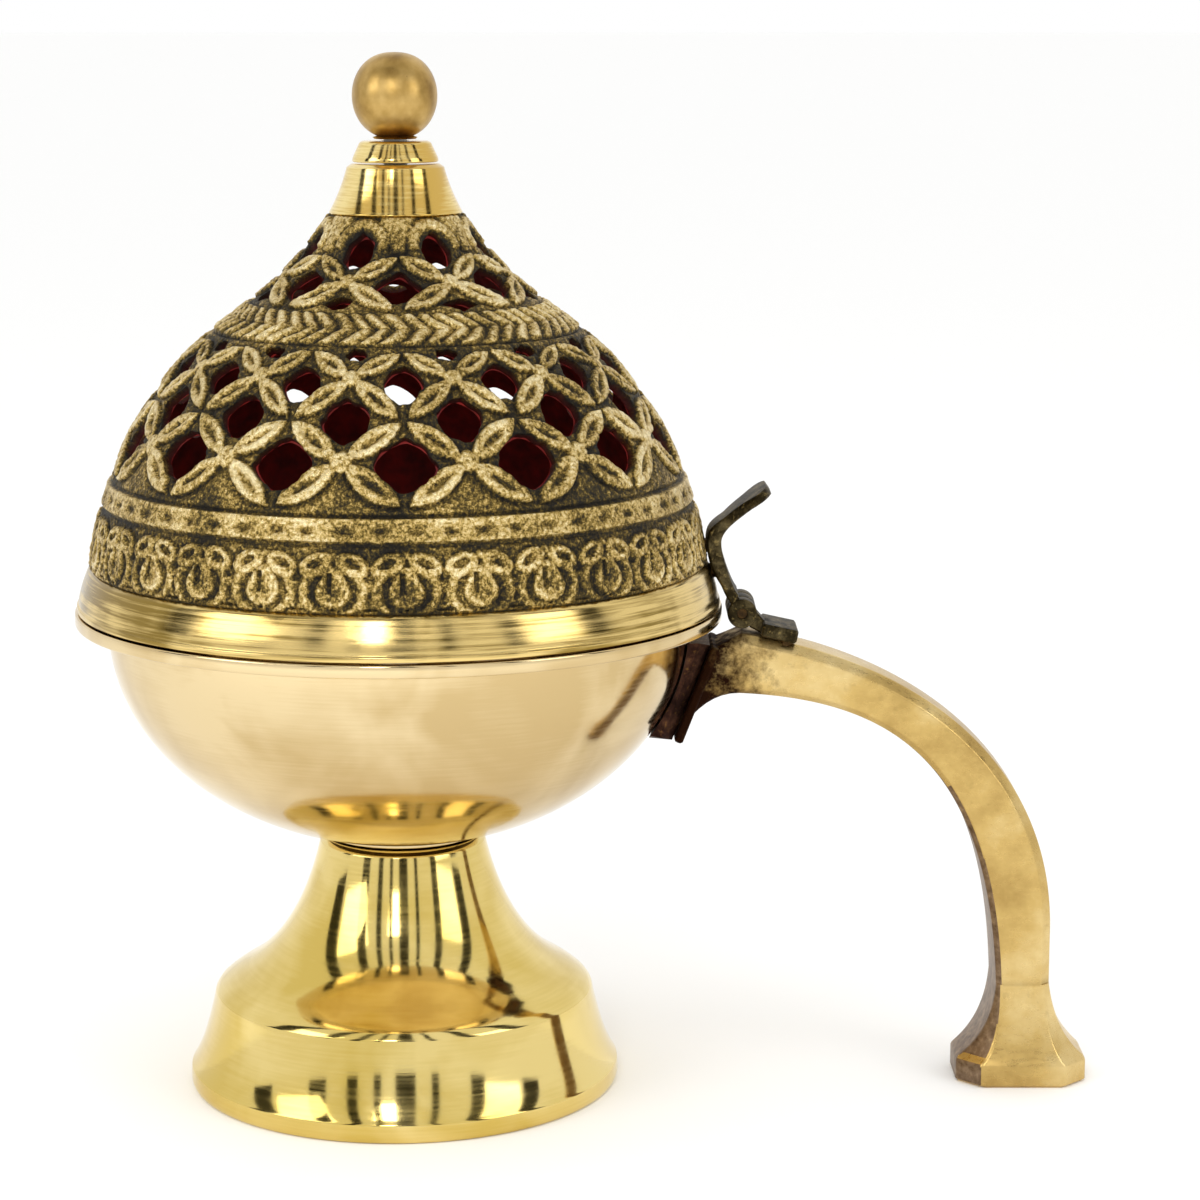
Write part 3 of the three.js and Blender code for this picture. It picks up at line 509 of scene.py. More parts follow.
def satin_brass():
    """Filed brass rubbed with fine abrasive: soft satin gloss, faint hammer waves and long scratches, with
    painted shade in concave creases.
    """
    material, tree, shader = new_material("brass, filed and rubbed satin")
    place = {"Vector": add_node(tree, "TexCoord").outputs["Object"]}
    clouds = add_node(tree, "TexNoise", {"Scale": 1 / (14 * MM), "Detail": 5, "Roughness": 0.6}, place)
    tint = add_node(tree, "ValToRGB", {"stops": [(0.3, "#a98a4f"), (0.5, "#c9aa68"), (0.72, "#e0c78d")]},
                    {"Fac": clouds})
    apart = add_node(tree, "SeparateXYZ", None, place)
    near = add_node(tree, "MapRange", {"From Min": 70 * MM, "From Max": 53 * MM}, {"Value": apart})
    soot = add_node(tree, "TexNoise", {"Scale": 1 / (3 * MM), "Detail": 6, "Roughness": 0.7}, place)
    burnt = add_node(tree, "Math", {"operation": "MULTIPLY_ADD", "use_clamp": True, 1: 1.5},
                     {0: near, 2: add_node(tree, "MapRange", {
                         "From Min": 0.35, "From Max": 0.65, "To Min": -0.7, "To Max": 0.1},
                         {"Value": soot}).outputs["Result"]})
    fine = add_node(tree, "Mapping", {"Scale": (1 / (3 * MM), 1 / (0.5 * MM), 1 / (0.9 * MM))}, place)
    scratch = add_node(tree, "TexNoise", {"Scale": 1, "Detail": 6, "Roughness": 0.7, "Distortion": 0.4},
                       {"Vector": fine})
    # Painted shade: concave creases, where the pointiness is under a half, are darkened towards #5b4423.
    edges = add_node(tree, "NewGeometry").outputs["Pointiness"]
    crease_shade = add_node(tree, "MapRange", {"From Min": 0.44, "From Max": 0.5}, {"Value": edges})
    crease_shaded = add_node(tree, "Mix", {"data_type": "RGBA", 6: linear("#5b4423")},
                     {0: crease_shade, 7: tint})
    torched = add_node(tree, "Mix", {"data_type": "RGBA", 7: linear("#301a0f")},
                       {0: burnt, 6: crease_shaded.outputs[2]})
    gloss = add_node(tree, "MapRange", {"From Min": 0.3, "From Max": 0.7, "To Min": 0.2, "To Max": 0.42},
                     {"Value": scratch})
    dulled = add_node(tree, "Mix", {3: 0.85}, {0: burnt, 2: gloss})
    waves = add_node(tree, "TexNoise", {"Scale": 1 / (7 * MM), "Detail": 2}, place)
    relief = add_node(tree, "Bump", {"Strength": 0.35, "Distance": 0.5 * MM}, {"Height": waves})
    bump = add_node(tree, "Bump", {"Strength": 0.35, "Distance": 0.05 * MM},
                    {"Height": scratch, "Normal": relief})
    join(tree, shader, {"Base Color": torched.outputs[2], "Roughness": dulled, "Normal": bump})
    return material


satin = satin_brass()
# Painted shade: the bowl-facing inner faces of the leg and foot take this darker grey-brown brass.
inner_face_shade = mottled("brass, painted inner-face shade", [(0.3, "#5b4735"), (0.55, "#86705a"), (0.75, "#a58f72")], 0.4)
flange_plate = plate(flange_point(0, 0), FLANGE_UP, FLANGE_OUT, FLANGE_LENGTH, FLANGE_T, FLANGE_W / 2)
# Faces turned towards the bowl low on the leg and foot get the painted shade material.
handle = piece("handle_bar", [lofted(handle_rings), flange_plate], [satin, inner_face_shade], sharp=28,
               inside=lambda at, normal: normal.x < -0.6 and at.x > 86)
hand_over(handle, "stand", "satin_brass", "handle")
kept(dark_bolt, 0.1, "handle_rivet_near", "handle_rivet_far")

# ---------------------------------------------------------------- hinge: lower leaf, rivets and pin
# A dark plate riveted on the handle's seat, with the hinge's middle knuckle. The pin is peened short of the
# outer knuckles' faces, so that its ends lie in shadow.
leaf_high = span("hinge_base_leaf")[1]
pin_low, pin_high = span("hinge_pin")
PIN = np.array([(pin_low[0] + pin_high[0]) / 2, (pin_low[2] + pin_high[2]) / 2])
PIN_HOLE_R = 0.96
KNUCKLE_R = 2.6
HINGE_HALF = 5.5
MIDDLE_HALF = 2
KNUCKLE_GAP = 0.3
LEAF_BASE_T = 2.4
SEAT_WAY = (np.array(SEAT_END) - SEAT_START) / np.linalg.norm(np.array(SEAT_END) - SEAT_START)
SEAT_UP = np.array([-SEAT_WAY[1], SEAT_WAY[0]])


def knuckle(y_low, y_high):
    """A knuckle of the hinge: a short tube round the pin, its edges eased."""
    outline = [(PIN_HOLE_R, y_low), (KNUCKLE_R, y_low), (KNUCKLE_R, y_high), (PIN_HOLE_R, y_high),
               (PIN_HOLE_R, y_low)]
    vertices, faces = turned(soften(outline, 0.3), 48)
    x, y, z = vertices.T
    return np.stack([PIN[0] + x, z, PIN[1] - y], axis=1), faces


dark_leaf = heat_stained_brass("brass, dark with handling", "#b89f63",
                               [(0.3, "#120d08"), (0.46, "#2f2818"), (0.6, "#5d5238"), (0.78, "#8f7f55")])
plate_start = np.array(SEAT_START) + SEAT_WAY * (KNUCKLE_R + KNUCKLE_GAP + 0.4) + SEAT_UP * SEAM
plate_length = (leaf_high[0] - plate_start[0]) / SEAT_WAY[0] - 0.5
base_plate = plate(plate_start, SEAT_WAY, SEAT_UP, plate_length, LEAF_BASE_T, HINGE_HALF)
neck_rings = [bar_ring(PIN + (-0.6, -1.9), PIN + (0.6, 2.2), MIDDLE_HALF, 0.3, 0.3, 0.1)]
for along in (0.2, 1.4):
    neck_foot = plate_start + SEAT_WAY * along
    neck_rings.append(bar_ring(neck_foot, neck_foot + SEAT_UP * LEAF_BASE_T, MIDDLE_HALF, 0.3, 0.3, 0.1))
base_leaf = piece("hinge_lower_leaf", [base_plate, lofted(neck_rings), knuckle(-MIDDLE_HALF, MIDDLE_HALF)],
                  [dark_leaf])
hand_over(base_leaf, "stand", "dark_brass", "hinge_base_leaf")
kept(dark_bolt, 0.1, "hinge_pin", "base_leaf_rivet_near", "base_leaf_rivet_far")

# ---------------------------------------------------------------- lid: outline and rim band
# The lid is one brass casting. Its rim is turned after casting: a bright conical band with the tool's rings
# still in it, rougher than the bowl's polish.
lid_low, lid_high = span("lid")
LID_FOOT = lid_low[2]
LID_R = lid_high[1] - EASE
BAND_TOP = LID_FOOT + 7.4
BAND_TOP_R = 54.3
LID_RIM_T = 2.4
CAST_WALL = 1.9
NECK_TOP = lid_high[2] - 0.6
NECK_R = 8.4

dome_turn = (29.3, 137.8)  # where the belly of the onion bends over into its neck
dome = np.array(
    bezier((BAND_TOP_R, BAND_TOP), (BAND_TOP_R - 1.4, BAND_TOP + 11.8), (46.1, 125.9), dome_turn, steps=240)
    + bezier(dome_turn, (16, 147.2), (10.6, 155.4), (NECK_R, NECK_TOP), steps=160)[1:]
)
dome_gone = np.concatenate([[0], np.cumsum(np.linalg.norm(np.diff(dome, axis=0), axis=1))])
dome_way = np.gradient(dome, axis=0)
dome_way /= np.linalg.norm(dome_way, axis=1)[:, None]


def reach_at(height):
    """Length along the dome, from the top of the rim band up to a height."""
    return np.interp(height, dome[:, 1], dome_gone)


def on_dome(angle, reach, rise):
    """Points of the dome at an angle and a reach, raised square to it."""
    radius = np.interp(reach, dome_gone, dome[:, 0])
    height = np.interp(reach, dome_gone, dome[:, 1])
    out = np.interp(reach, dome_gone, dome_way[:, 1])
    up = -np.interp(reach, dome_gone, dome_way[:, 0])
    radius = radius + rise * out
    return np.stack([radius * np.cos(angle), radius * np.sin(angle), height + rise * up], axis=-1)


rim_outline = (
    [(LID_R - LID_RIM_T, LID_FOOT), (LID_R, LID_FOOT), (LID_R, LID_FOOT + 0.9),
     (LID_R - 0.25, LID_FOOT + 1.1)]
    + bezier((LID_R - 0.3, LID_FOOT + 1.2), (LID_R - 0.5, LID_FOOT + 3.4), (BAND_TOP_R + 0.3, BAND_TOP - 0.6),
             steps=16)
    + [(BAND_TOP_R - 0.45, BAND_TOP), (BAND_TOP_R - CAST_WALL, BAND_TOP + 0.2), (LID_R - LID_RIM_T, LID_FOOT)]
)
rim_brass = polished_brass("brass, turned with tool rings", "#e0c47f", "#8f7638", 0.17, 0.55, 22, 0.7)
rim_band = piece("lid_rim_band", [turned(soften(rim_outline, 0.2))], [rim_brass])
hand_over(rim_band, "lid", "polished_brass")

# ---------------------------------------------------------------- lid: carved skin
# Everything above the rim band is left as cast: flower band, dotted band, lattice, plait and crown. The
# relief is chased by hand, so no two petals or openings are quite alike.
chance = np.random.default_rng(7)
FIRST_OPENING = math.radians(-85.2)
TURN = 2 * math.pi


class Carving:
    """A stretch of the dome as a grid: how high each point stands, and how far it is from an opening."""

    def __init__(self, low, high, columns, step):
        self.low = reach_at(low)
        self.high = reach_at(high)
        self.reach = np.linspace(self.low, self.high, int((self.high - self.low) / step) + 1)
        self.angle = np.arange(columns) * TURN / columns
        self.radius = np.interp(self.reach, dome_gone, dome[:, 0])
        shape = (len(self.reach), columns)
        self.raised = np.full(shape, -9.0)
        self.clear = np.full(shape, 9.0)
        self.solid = np.full(shape, 9.0)

    def around(self, angle, height, width, tilt=0):
        """The grid near a point, as an index and as millimetres across and up from it, turned by a tilt."""
        middle = reach_at(height)
        rows = np.where(abs(self.reach - middle) < width)[0]
        off = (self.angle - angle + math.pi) % TURN - math.pi
        radius = float(np.interp(middle, dome_gone, dome[:, 0]))
        columns = np.where(abs(off) * radius < width * 1.5)[0]
        x = off[columns][None, :] * self.radius[rows][:, None]
        y = (self.reach[rows] - middle)[:, None] + 0 * x
        turned_x = x * math.cos(tilt) + y * math.sin(tilt)
        turned_y = y * math.cos(tilt) - x * math.sin(tilt)
        return np.ix_(rows, columns), turned_x, turned_y

    def add(self, index, inside, rise):
        """Raises the skin to rise where inside, a distance in from the ornament's edge, is above nought."""
        self.raised[index] = np.where(inside > 0, np.maximum(self.raised[index], rise), self.raised[index])
        self.clear[index] = np.minimum(self.clear[index], -inside)

    def petal(self, start, end, half_width, trim):
        """A pointed petal with a raised rim and a sunk heart, between two (angle, height) points."""
        angle = (start[0] + end[0]) / 2
        rise = reach_at(end[1]) - reach_at(start[1])
        middle_reach = (reach_at(end[1]) + reach_at(start[1])) / 2
        height = float(np.interp(middle_reach, dome_gone, dome[:, 1]))
        across = (end[0] - start[0]) * float(np.interp(middle_reach, dome_gone, dome[:, 0]))
        long = math.hypot(across, rise) / 2 - trim
        tilt = math.atan2(rise, across) + chance.normal(0, 0.03)
        index, x, y = self.around(angle, height, long + 4, tilt)
        wide = half_width * chance.uniform(0.9, 1.1)
        bow = (long ** 2 + wide ** 2) / (2 * wide)
        inside = bow - np.hypot(x, abs(y) + bow - wide)
        share = np.clip(inside / wide, 0, 1)
        side = 1 + 0.25 * np.sign(y) * np.clip(abs(y), 0, 0.3) / 0.3 * chance.uniform(-1, 1)
        rim = np.interp(share, [0, 0.05, 0.14, 0.58, 0.72, 0.84, 1],
                        [-0.2, 0.16, 0.31, 0.33, 0.14, -0.16, -0.26])
        self.add(index, inside, rim * side)

    def boss(self, angle, height, half):
        """A small cushion with rounded corners where petals meet."""
        index, x, y = self.around(angle, height, half + 2, math.pi / 4 + chance.normal(0, 0.08))
        size = (abs(x / half) ** 3.2 + abs(y / half) ** 3.2) ** (1 / 3.2)
        self.add(index, (1 - size) * half, np.interp(size, [0, 0.6, 0.85, 1], [0.42, 0.36, 0.16, -0.4]))

    def pierce(self, angle, height, half_width, half_height, power, tilt):
        """An opening: a diamond with rounded sides and corners."""
        index, x, y = self.around(angle, height, max(half_width, half_height) + 3, tilt)
        size = (abs(x / half_width) ** power + abs(y / half_height) ** power) ** (1 / power)
        self.solid[index] = np.minimum(self.solid[index], (size - 1) * min(half_width, half_height) * 0.8)

    def grain(self, shortest, longest, waves, seed):
        """Smooth random waves round the dome, from minus to plus one or so, with lengths in mm."""
        rng = np.random.default_rng(seed)
        middle = float(self.radius.mean())
        total = np.zeros(self.solid.shape)
        for _ in range(waves):
            length = rng.uniform(shortest, longest)
            way = rng.uniform(0, TURN)
            round_count = round(TURN * middle / length * math.cos(way))
            total += np.sin(round_count * self.angle[None, :]
                            + TURN / length * math.sin(way) * self.reach[:, None] + rng.uniform(0, TURN))
        return total / math.sqrt(waves)

    def mesh(self, rise, wall=0, flip=False):
        """Vertices, faces, rise and depth of the skin, cut along its openings, with walls down into them."""
        rows, columns = rise.shape
        keep = self.solid >= 0
        grid = np.arange(rows * columns).reshape(rows, columns)
        beside = np.roll(grid, -1, axis=1)
        corners = np.stack([grid[:-1], beside[:-1], beside[1:], grid[1:]], axis=-1).reshape(-1, 4)
        kept_corners = keep.reshape(-1)[corners]
        angle = np.repeat(self.angle[None, :], rows, axis=0).reshape(-1)
        reach = np.repeat(self.reach[:, None], columns, axis=1).reshape(-1)
        level = rise.reshape(-1)
        solid = self.solid.reshape(-1)
        faces = corners[kept_corners.all(axis=1)].tolist()
        extra = []
        crossing = {}

        def cross(a, b):
            """The point between two neighbours where the opening's edge lies."""
            key = (min(a, b), max(a, b))
            if key not in crossing:
                near, far = key
                share = float(np.clip(solid[near] / (solid[near] - solid[far]), 0.06, 0.94))
                turn = (angle[far] - angle[near] + math.pi) % TURN - math.pi
                crossing[key] = len(level) + len(extra)
                extra.append((angle[near] + turn * share, reach[near] + (reach[far] - reach[near]) * share,
                              level[near] + (level[far] - level[near]) * share))
            return crossing[key]

        rims = []
        mixed = kept_corners.any(axis=1) & ~kept_corners.all(axis=1)
        for quad, stays in zip(corners[mixed].tolist(), kept_corners[mixed].tolist()):
            ring = []
            leaves = []
            for k in range(4):
                if stays[k]:
                    ring.append(quad[k])
                if stays[k] != stays[(k + 1) % 4]:
                    ring.append(cross(quad[k], quad[(k + 1) % 4]))
                    leaves.append((ring[-1], stays[k]))
            faces.append(ring)
            for i, (point, out) in enumerate(leaves):
                if out:
                    rims.append((point, leaves[(i + 1) % len(leaves)][0]))
        points = np.concatenate([np.stack([angle, reach, level], axis=1), np.array(extra).reshape(-1, 3)])
        deep = np.zeros(len(points))
        if wall:
            foot = {}
            for pair in rims:
                for point in pair:
                    foot.setdefault(point, len(points) + len(foot))
            under = points[list(foot)].copy()
            under[:, 2] = -wall
            points = np.concatenate([points, under])
            deep = np.concatenate([deep, np.ones(len(under))])
            faces += [(back, out, foot[out], foot[back]) for out, back in rims]
        used = np.unique(np.concatenate([np.array(face) for face in faces]))
        fresh = np.full(len(points), -1)
        fresh[used] = np.arange(len(used))
        faces = [tuple(fresh[list(face)].tolist())[::-1 if flip else 1] for face in faces]
        points = points[used]
        return on_dome(points[:, 0], points[:, 1], points[:, 2]), faces, points[:, 2], deep[used]


def antiqued_brass():
    """Cast brass dipped in a dark patina and rubbed back: olive-black hollows, bright ridges, sandy pores."""
    material, tree, shader = new_material("brass, cast and antiqued")
    place = {"Vector": add_node(tree, "TexCoord").outputs["Object"]}
    height = add_node(tree, "Attribute", {"attribute_name": "relief"})
    sand = add_node(tree, "TexNoise", {"Scale": 1 / (0.62 * MM), "Detail": 6, "Roughness": 0.8}, place)
    clouds = add_node(tree, "TexNoise", {"Scale": 1 / (9 * MM), "Detail": 3}, place)
    patchy = add_node(tree, "MapRange", {"From Min": 0.3, "From Max": 0.7, "To Min": -0.22, "To Max": 0.22},
                      {"Value": clouds})
    pores = add_node(tree, "MapRange", {"From Min": 0.3, "From Max": 0.7, "To Min": -0.55, "To Max": 0.5},
                     {"Value": sand})
    rubbed = add_node(tree, "Math", {"operation": "ADD"}, {0: height.outputs["Fac"], 1: patchy})
    worn = add_node(tree, "Math", {"operation": "ADD", "use_clamp": True},
                    {0: rubbed, 1: pores})
    stops = [(0.0, "#17120a"), (0.24, "#3f361e"), (0.46, "#766234"), (0.68, "#c2a45c"), (1.0, "#f3e2b2")]
    tint = add_node(tree, "ValToRGB", {"stops": stops}, {"Fac": worn})
    deep = add_node(tree, "Attribute", {"attribute_name": "deep"})
    red = add_node(tree, "Mix", {"data_type": "RGBA", 7: linear("#4a0a06")},
                   {0: deep.outputs["Fac"], 6: tint})
    gloss = add_node(tree, "MapRange", {"From Min": 0.3, "From Max": 0.9, "To Min": 0.6, "To Max": 0.27},
                     {"Value": worn})
    metal = add_node(tree, "MapRange", {"From Min": 0.1, "From Max": 0.4, "To Min": 0.6, "To Max": 1},
                     {"Value": worn})
    bump = add_node(tree, "Bump", {"Strength": 0.9, "Distance": 0.22 * MM}, {"Height": sand})
    join(tree, shader, {"Base Color": red.outputs[2], "Roughness": gloss, "Metallic": metal, "Normal": bump})
    return material


antiqued = antiqued_brass()
lacquer = mottled("oxblood lacquer, fired", [(0.3, "#5a0a05"), (0.7, "#94150c")],
                  0.65, 4, 5, 0.6, 0.3, 0.1, metallic=0)
GROOVE = -0.5  # level of the grooves where two bands of ornament meet


def cast_piece(name, carving, rise, wall=0):
    """The carved skin as an object, with its relief and its openings' walls marked for the patina."""
    edge = np.minimum(carving.reach - carving.low, carving.high - carving.reach)[:, None]
    rise = GROOVE + (rise - GROOVE) * np.clip(edge / 0.5, 0, 1) ** 0.7
    points, faces, level, deep = carving.mesh(rise, wall)
    made = piece(name, [(points, faces)], [antiqued], sharp=50)
    relief = np.interp(level, [-0.5, 0, 0.34], [0.13, 0.5, 0.82]) * (1 - deep)
    for label, values in (("relief", relief), ("deep", deep)):
        mark = made.data.attributes.new(label, "FLOAT", "POINT")
        mark.data.foreach_set("value", values.astype(np.float32))
    return made


# Flower band: 28 drops in their moats, each under a pair of leaves, with a small tab between neighbours. The
# dotted band above it is a flat fillet with lens-shaped pits.
FLOWERS = 28
DOTS = 56
FLOWER_TOP = 105.5
DOTTED_TOP = 110.3

flowers = Carving(BAND_TOP, FLOWER_TOP, FLOWERS * 44, 0.27)
for k in range(FLOWERS):
    turn = k * TURN / FLOWERS + FIRST_OPENING
    index, x, y = flowers.around(turn, BAND_TOP + 5, 9)
    y = y + reach_at(BAND_TOP + 5)
    x = x + chance.normal(0, 0.12)
    tall = np.where(y < 3.7, 2.9, 4.4)
    drop = np.hypot(x / (3.2 - 0.3 * np.clip(y - 3.7, 0, 4.4)), (y - 3.7) / tall)
    slit = 0.45 - np.hypot(x + 0.7, np.maximum(abs(y - 5.0) - 1.2, 0))
    body = np.interp(drop, [0, 0.5, 0.74, 0.9, 1], [0.0, 0.12, 0.34, 0.16, -0.4])
    body = np.where(slit > 0, np.minimum(body, -0.35), body)
    flowers.add(index, (1 - drop) * 2.9, body)
    collar = 0.95 - abs(np.hypot(x / 4.95, (y - 3.7) / np.where(y < 3.7, 4.1, 4.2)) - 1) * 4.6
    flowers.add(index, np.where(y < 6.4, collar, -1), np.interp(collar, [0, 0.4, 0.9], [-0.35, 0.1, 0.22]))
    bead = 0.85 - np.hypot(x, y - 9.6)
    flowers.add(index, bead, np.interp(bead, [0, 0.5], [-0.35, 0.2]))
    for side in (-1, 1):
        lean = side * -0.42 + chance.normal(0, 0.06)
        leaf_x = (x - side * 3.0) * math.cos(lean) + (y - 8.0) * math.sin(lean)
        leaf_y = (y - 8.0) * math.cos(lean) - (x - side * 3.0) * math.sin(lean)
        leaf = (1 - np.hypot(leaf_x / 3.1, leaf_y / 2.0)) * 2.0
        eye = (1 - np.hypot(leaf_x / 1.5, (leaf_y - 0.2) / 0.66)) * 0.6
        lobe = np.interp(leaf, [0, 0.2, 0.7], [-0.3, 0.18, 0.32])
        flowers.add(index, leaf, np.where(eye > 0, -0.1 - 0.5 * eye, lobe))
for k in range(FLOWERS):
    index, x, y = flowers.around((k + 0.5) * TURN / FLOWERS + FIRST_OPENING, BAND_TOP + 3, 5)
    y = y + reach_at(BAND_TOP + 3)
    tab = 1.55 - np.maximum(abs(x), abs(y - 3.2) - 0.9)
    pit = 1 - np.hypot(x / 0.62, (y - 3) / 1.6)
    flowers.add(index, tab, np.where(pit > 0, -0.15 - 0.4 * pit, np.interp(tab, [0, 0.4], [-0.4, 0])))
rough = flowers.grain(0.7, 1.8, 22, 11)
ground = np.interp(flowers.clear, [0, 0.35, 1.1], [-0.42, -0.38, -0.12])
border = np.clip(1.5 - flowers.reach, 0, 1)[:, None] * 0.5
rise = np.where(flowers.raised > -5, np.maximum(flowers.raised, -0.5), ground + border)
rise = rise * 0.9 - 0.06 + 0.07 * rough
flower_band = cast_piece("lid_flower_band", flowers, rise)
hand_over(flower_band, "lid", "antiqued_brass")

dots = Carving(FLOWER_TOP, DOTTED_TOP, FLOWERS * 34, 0.34)
from_edge = np.minimum(dots.reach - dots.low, dots.high - dots.reach)[:, None]
fillet = np.interp(from_edge, [0.3, 0.65], [-0.45, 0.16]) + np.zeros(dots.solid.shape)
upper_edge = dots.high - dots.reach[:, None]
fillet += 0.12 * np.exp(-((upper_edge - 0.95) / 0.25) ** 2)
for k in range(DOTS):
    turn = (k + chance.normal(0, 0.06)) * TURN / DOTS
    index, x, y = dots.around(turn, (FLOWER_TOP + DOTTED_TOP) / 2 - 0.1, 3.2)
    long = chance.uniform(1.3, 2.1)
    pit = 1 - np.hypot(x / long, y / 0.72)
    fillet[index] = np.where(pit > 0, np.minimum(fillet[index], 0.1 - 0.6 * pit), fillet[index])
fillet += 0.04 * dots.grain(0.8, 2.4, 16, 12)
dotted_band = cast_piece("lid_dotted_band", dots, fillet)
hand_over(dotted_band, "lid", "antiqued_brass")

# Lattice: three rows of diamond openings and a row of small ones, between petals that cross at small
# cushions.
STEPS = 14
LATTICE_TOP = 135.8
CUSHION_ROWS = ((118.4, 1.9), (131, 1.6))
PETAL_ENDS = (111.2, CUSHION_ROWS[0][0], 124.7, CUSHION_ROWS[1][0], 134.9)
LATTICE_PETALS = ((2.35, 0.55), (2.2, 0.6), (2.0, 0.55), (1.65, 0.5))
LATTICE_OPENINGS = ((0, 117.9, 5.2, 4.7, 1.45), (0.5, 124.8, 4.2, 4.4, 1.5), (0, 130.2, 3.5, 3.7, 1.5),
                    (0.5, 134.6, 2.0, 1.3, 1.7))
step_angle = TURN / STEPS


def openings_round(rows, steps, sway, lift, least, powers):
    """Openings a little out of true. A row is a shift, a height, two half sizes and a power of roundness."""
    made = []
    for shift, height, half_width, half_height, power in rows:
        for k in range(steps):
            made.append((
                FIRST_OPENING + (k + shift) * (TURN / steps) + chance.normal(0, sway),
                height + chance.normal(0, lift),
                half_width * chance.uniform(least, 1.05), half_height * chance.uniform(least, 1.05),
                power * chance.uniform(*powers), chance.normal(0, 0.05)))
    return made


def petal_chain(carving, here, beside, heights, petals):
    """Petals of (half width, trim) end to end, which climb to and fro between two meridians."""
    ends = [((here, beside)[i % 2], height) for i, height in enumerate(heights)]
    for low, high, (half_width, trim) in zip(ends, ends[1:], petals):
        carving.petal(low, high, half_width, trim)


openings = openings_round(LATTICE_OPENINGS, STEPS, 0.004, 0.12, 0.94, (0.93, 1.12))
lattice = Carving(DOTTED_TOP, LATTICE_TOP, STEPS * 76, 0.3)
for opening in openings:
    lattice.pierce(*opening)
for k in range(STEPS):
    here = FIRST_OPENING + k * step_angle
    for side in (-0.5, 0.5):
        petal_chain(lattice, here, here + side * step_angle, PETAL_ENDS, LATTICE_PETALS)
    for height, half_size in CUSHION_ROWS:
        lattice.boss(here + step_angle / 2, height, half_size)


def lattice_rise(carving, seed):
    """Level of a lattice: ornament, a moat round it, webs that rise from it, and edges worn into openings."""
    edges = 0.16 * carving.grain(1.6, 4, 14, seed)
    carving.solid = np.where(carving.solid < 4, carving.solid + edges, carving.solid)
    ground = np.interp(carving.clear, [0, 0.3, 1.1], [-0.46, -0.4, -0.12])
    level = np.where(carving.raised > -5, np.maximum(carving.raised, -0.5), ground)
    level = level - np.interp(carving.solid, [0, 0.25, 0.6], [0.24, 0.08, 0])
    return level + 0.06 * carving.grain(0.7, 1.8, 20, seed + 1)


lattice_skin = cast_piece("lid_lattice", lattice, lattice_rise(lattice, 21), CAST_WALL)
hand_over(lattice_skin, "lid", "antiqued_brass", "lid")

# Plait and crown: a band of slanting cords, then seven large openings between crossing petals, small
# triangles under the cushions and arched windows over them.
PLAIT_TOP = 140.6
PLAITS = 56
CROWN_STEPS = 7
CROWN_TOP = 155.8
crown_step = TURN / CROWN_STEPS

plait = Carving(LATTICE_TOP, PLAIT_TOP, STEPS * 52, 0.3)
share = ((plait.reach - plait.low) / (plait.high - plait.low) * 2 - 1)[:, None]
wander = 0.12 * plait.grain(6, 14, 8, 31)
phase = PLAITS * plait.angle[None, :] / TURN + 1.05 * abs(share) + wander
cord = (0.5 + 0.5 * np.cos(TURN * phase)) ** 0.5
seam = np.exp(-(share / 0.07) ** 2)
plaited = -0.42 + 0.8 * cord - 0.28 * seam * cord + 0.05 * plait.grain(0.8, 2, 16, 32)
plait_band = cast_piece("lid_plait_band", plait, plaited)
hand_over(plait_band, "lid", "antiqued_brass")

CUSHION_Z = 145.4
WINDOW_Z = 150.3
CROWN_OPENINGS = ((0, 144.5, 4.3, 3.8, 1.35), (0.5, 142.0, 3.0, 1.55, 1.3), (0.5, WINDOW_Z, 2.9, 3.5, 1.9))
CROWN_PETAL_ENDS = (PLAIT_TOP + 0.3, CUSHION_Z, 149.4)
crown_openings = openings_round(CROWN_OPENINGS, CROWN_STEPS, 0.01, 0.1, 0.93, (0.95, 1.1))

crown = Carving(PLAIT_TOP, CROWN_TOP, STEPS * 36, 0.3)
for opening in crown_openings:
    crown.pierce(*opening)
for k in range(CROWN_STEPS):
    here = FIRST_OPENING + k * crown_step
    for side in (-0.5, 0.5):
        petal_chain(crown, here, here + side * crown_step, CROWN_PETAL_ENDS, ((2.0, 0.5), (1.75, 0.45)))
    crown.boss(here + crown_step / 2, CUSHION_Z, 1.45)
    index, x, y = crown.around(here + crown_step / 2, WINDOW_Z, 7)
    arch = 1.1 - abs(np.hypot(x / 4.1, (y - 0.3) / 4.7) - 1) * 3.9
    crown.add(index, np.where(y > 0.2, arch, -1), np.interp(arch, [0, 0.6], [-0.2, 0.3]))
    index, x, y = crown.around(here, 153.2, 6)
    web = 2.3 - np.maximum(abs(x) - np.clip(y, -3, 4) * 0.3, abs(y) - 1.8)
    crown.add(index, web, np.interp(web, [0, 0.8], [-0.2, 0.2]))
crown_skin = cast_piece("lid_crown", crown, lattice_rise(crown, 41), CAST_WALL)
hand_over(crown_skin, "lid", "antiqued_brass")

# Inside the lid: the casting's inner face, smooth and dark red, cut by the same openings.
lining = Carving(BAND_TOP, CROWN_TOP, STEPS * 32, 0.8)
for opening in openings + crown_openings:
    lining.pierce(*opening)
lining.solid = lining.solid + 0.1
lining_rise = np.full(lining.solid.shape, -CAST_WALL) + 0.05 * lining.grain(3, 7, 12, 51)
lining_points, lining_faces, _, _ = lining.mesh(lining_rise, flip=True)
lid_lining = piece("lid_inside", [(lining_points, lining_faces)], [lacquer], sharp=60)
hand_over(lid_lining, "lid", "antiqued_brass")

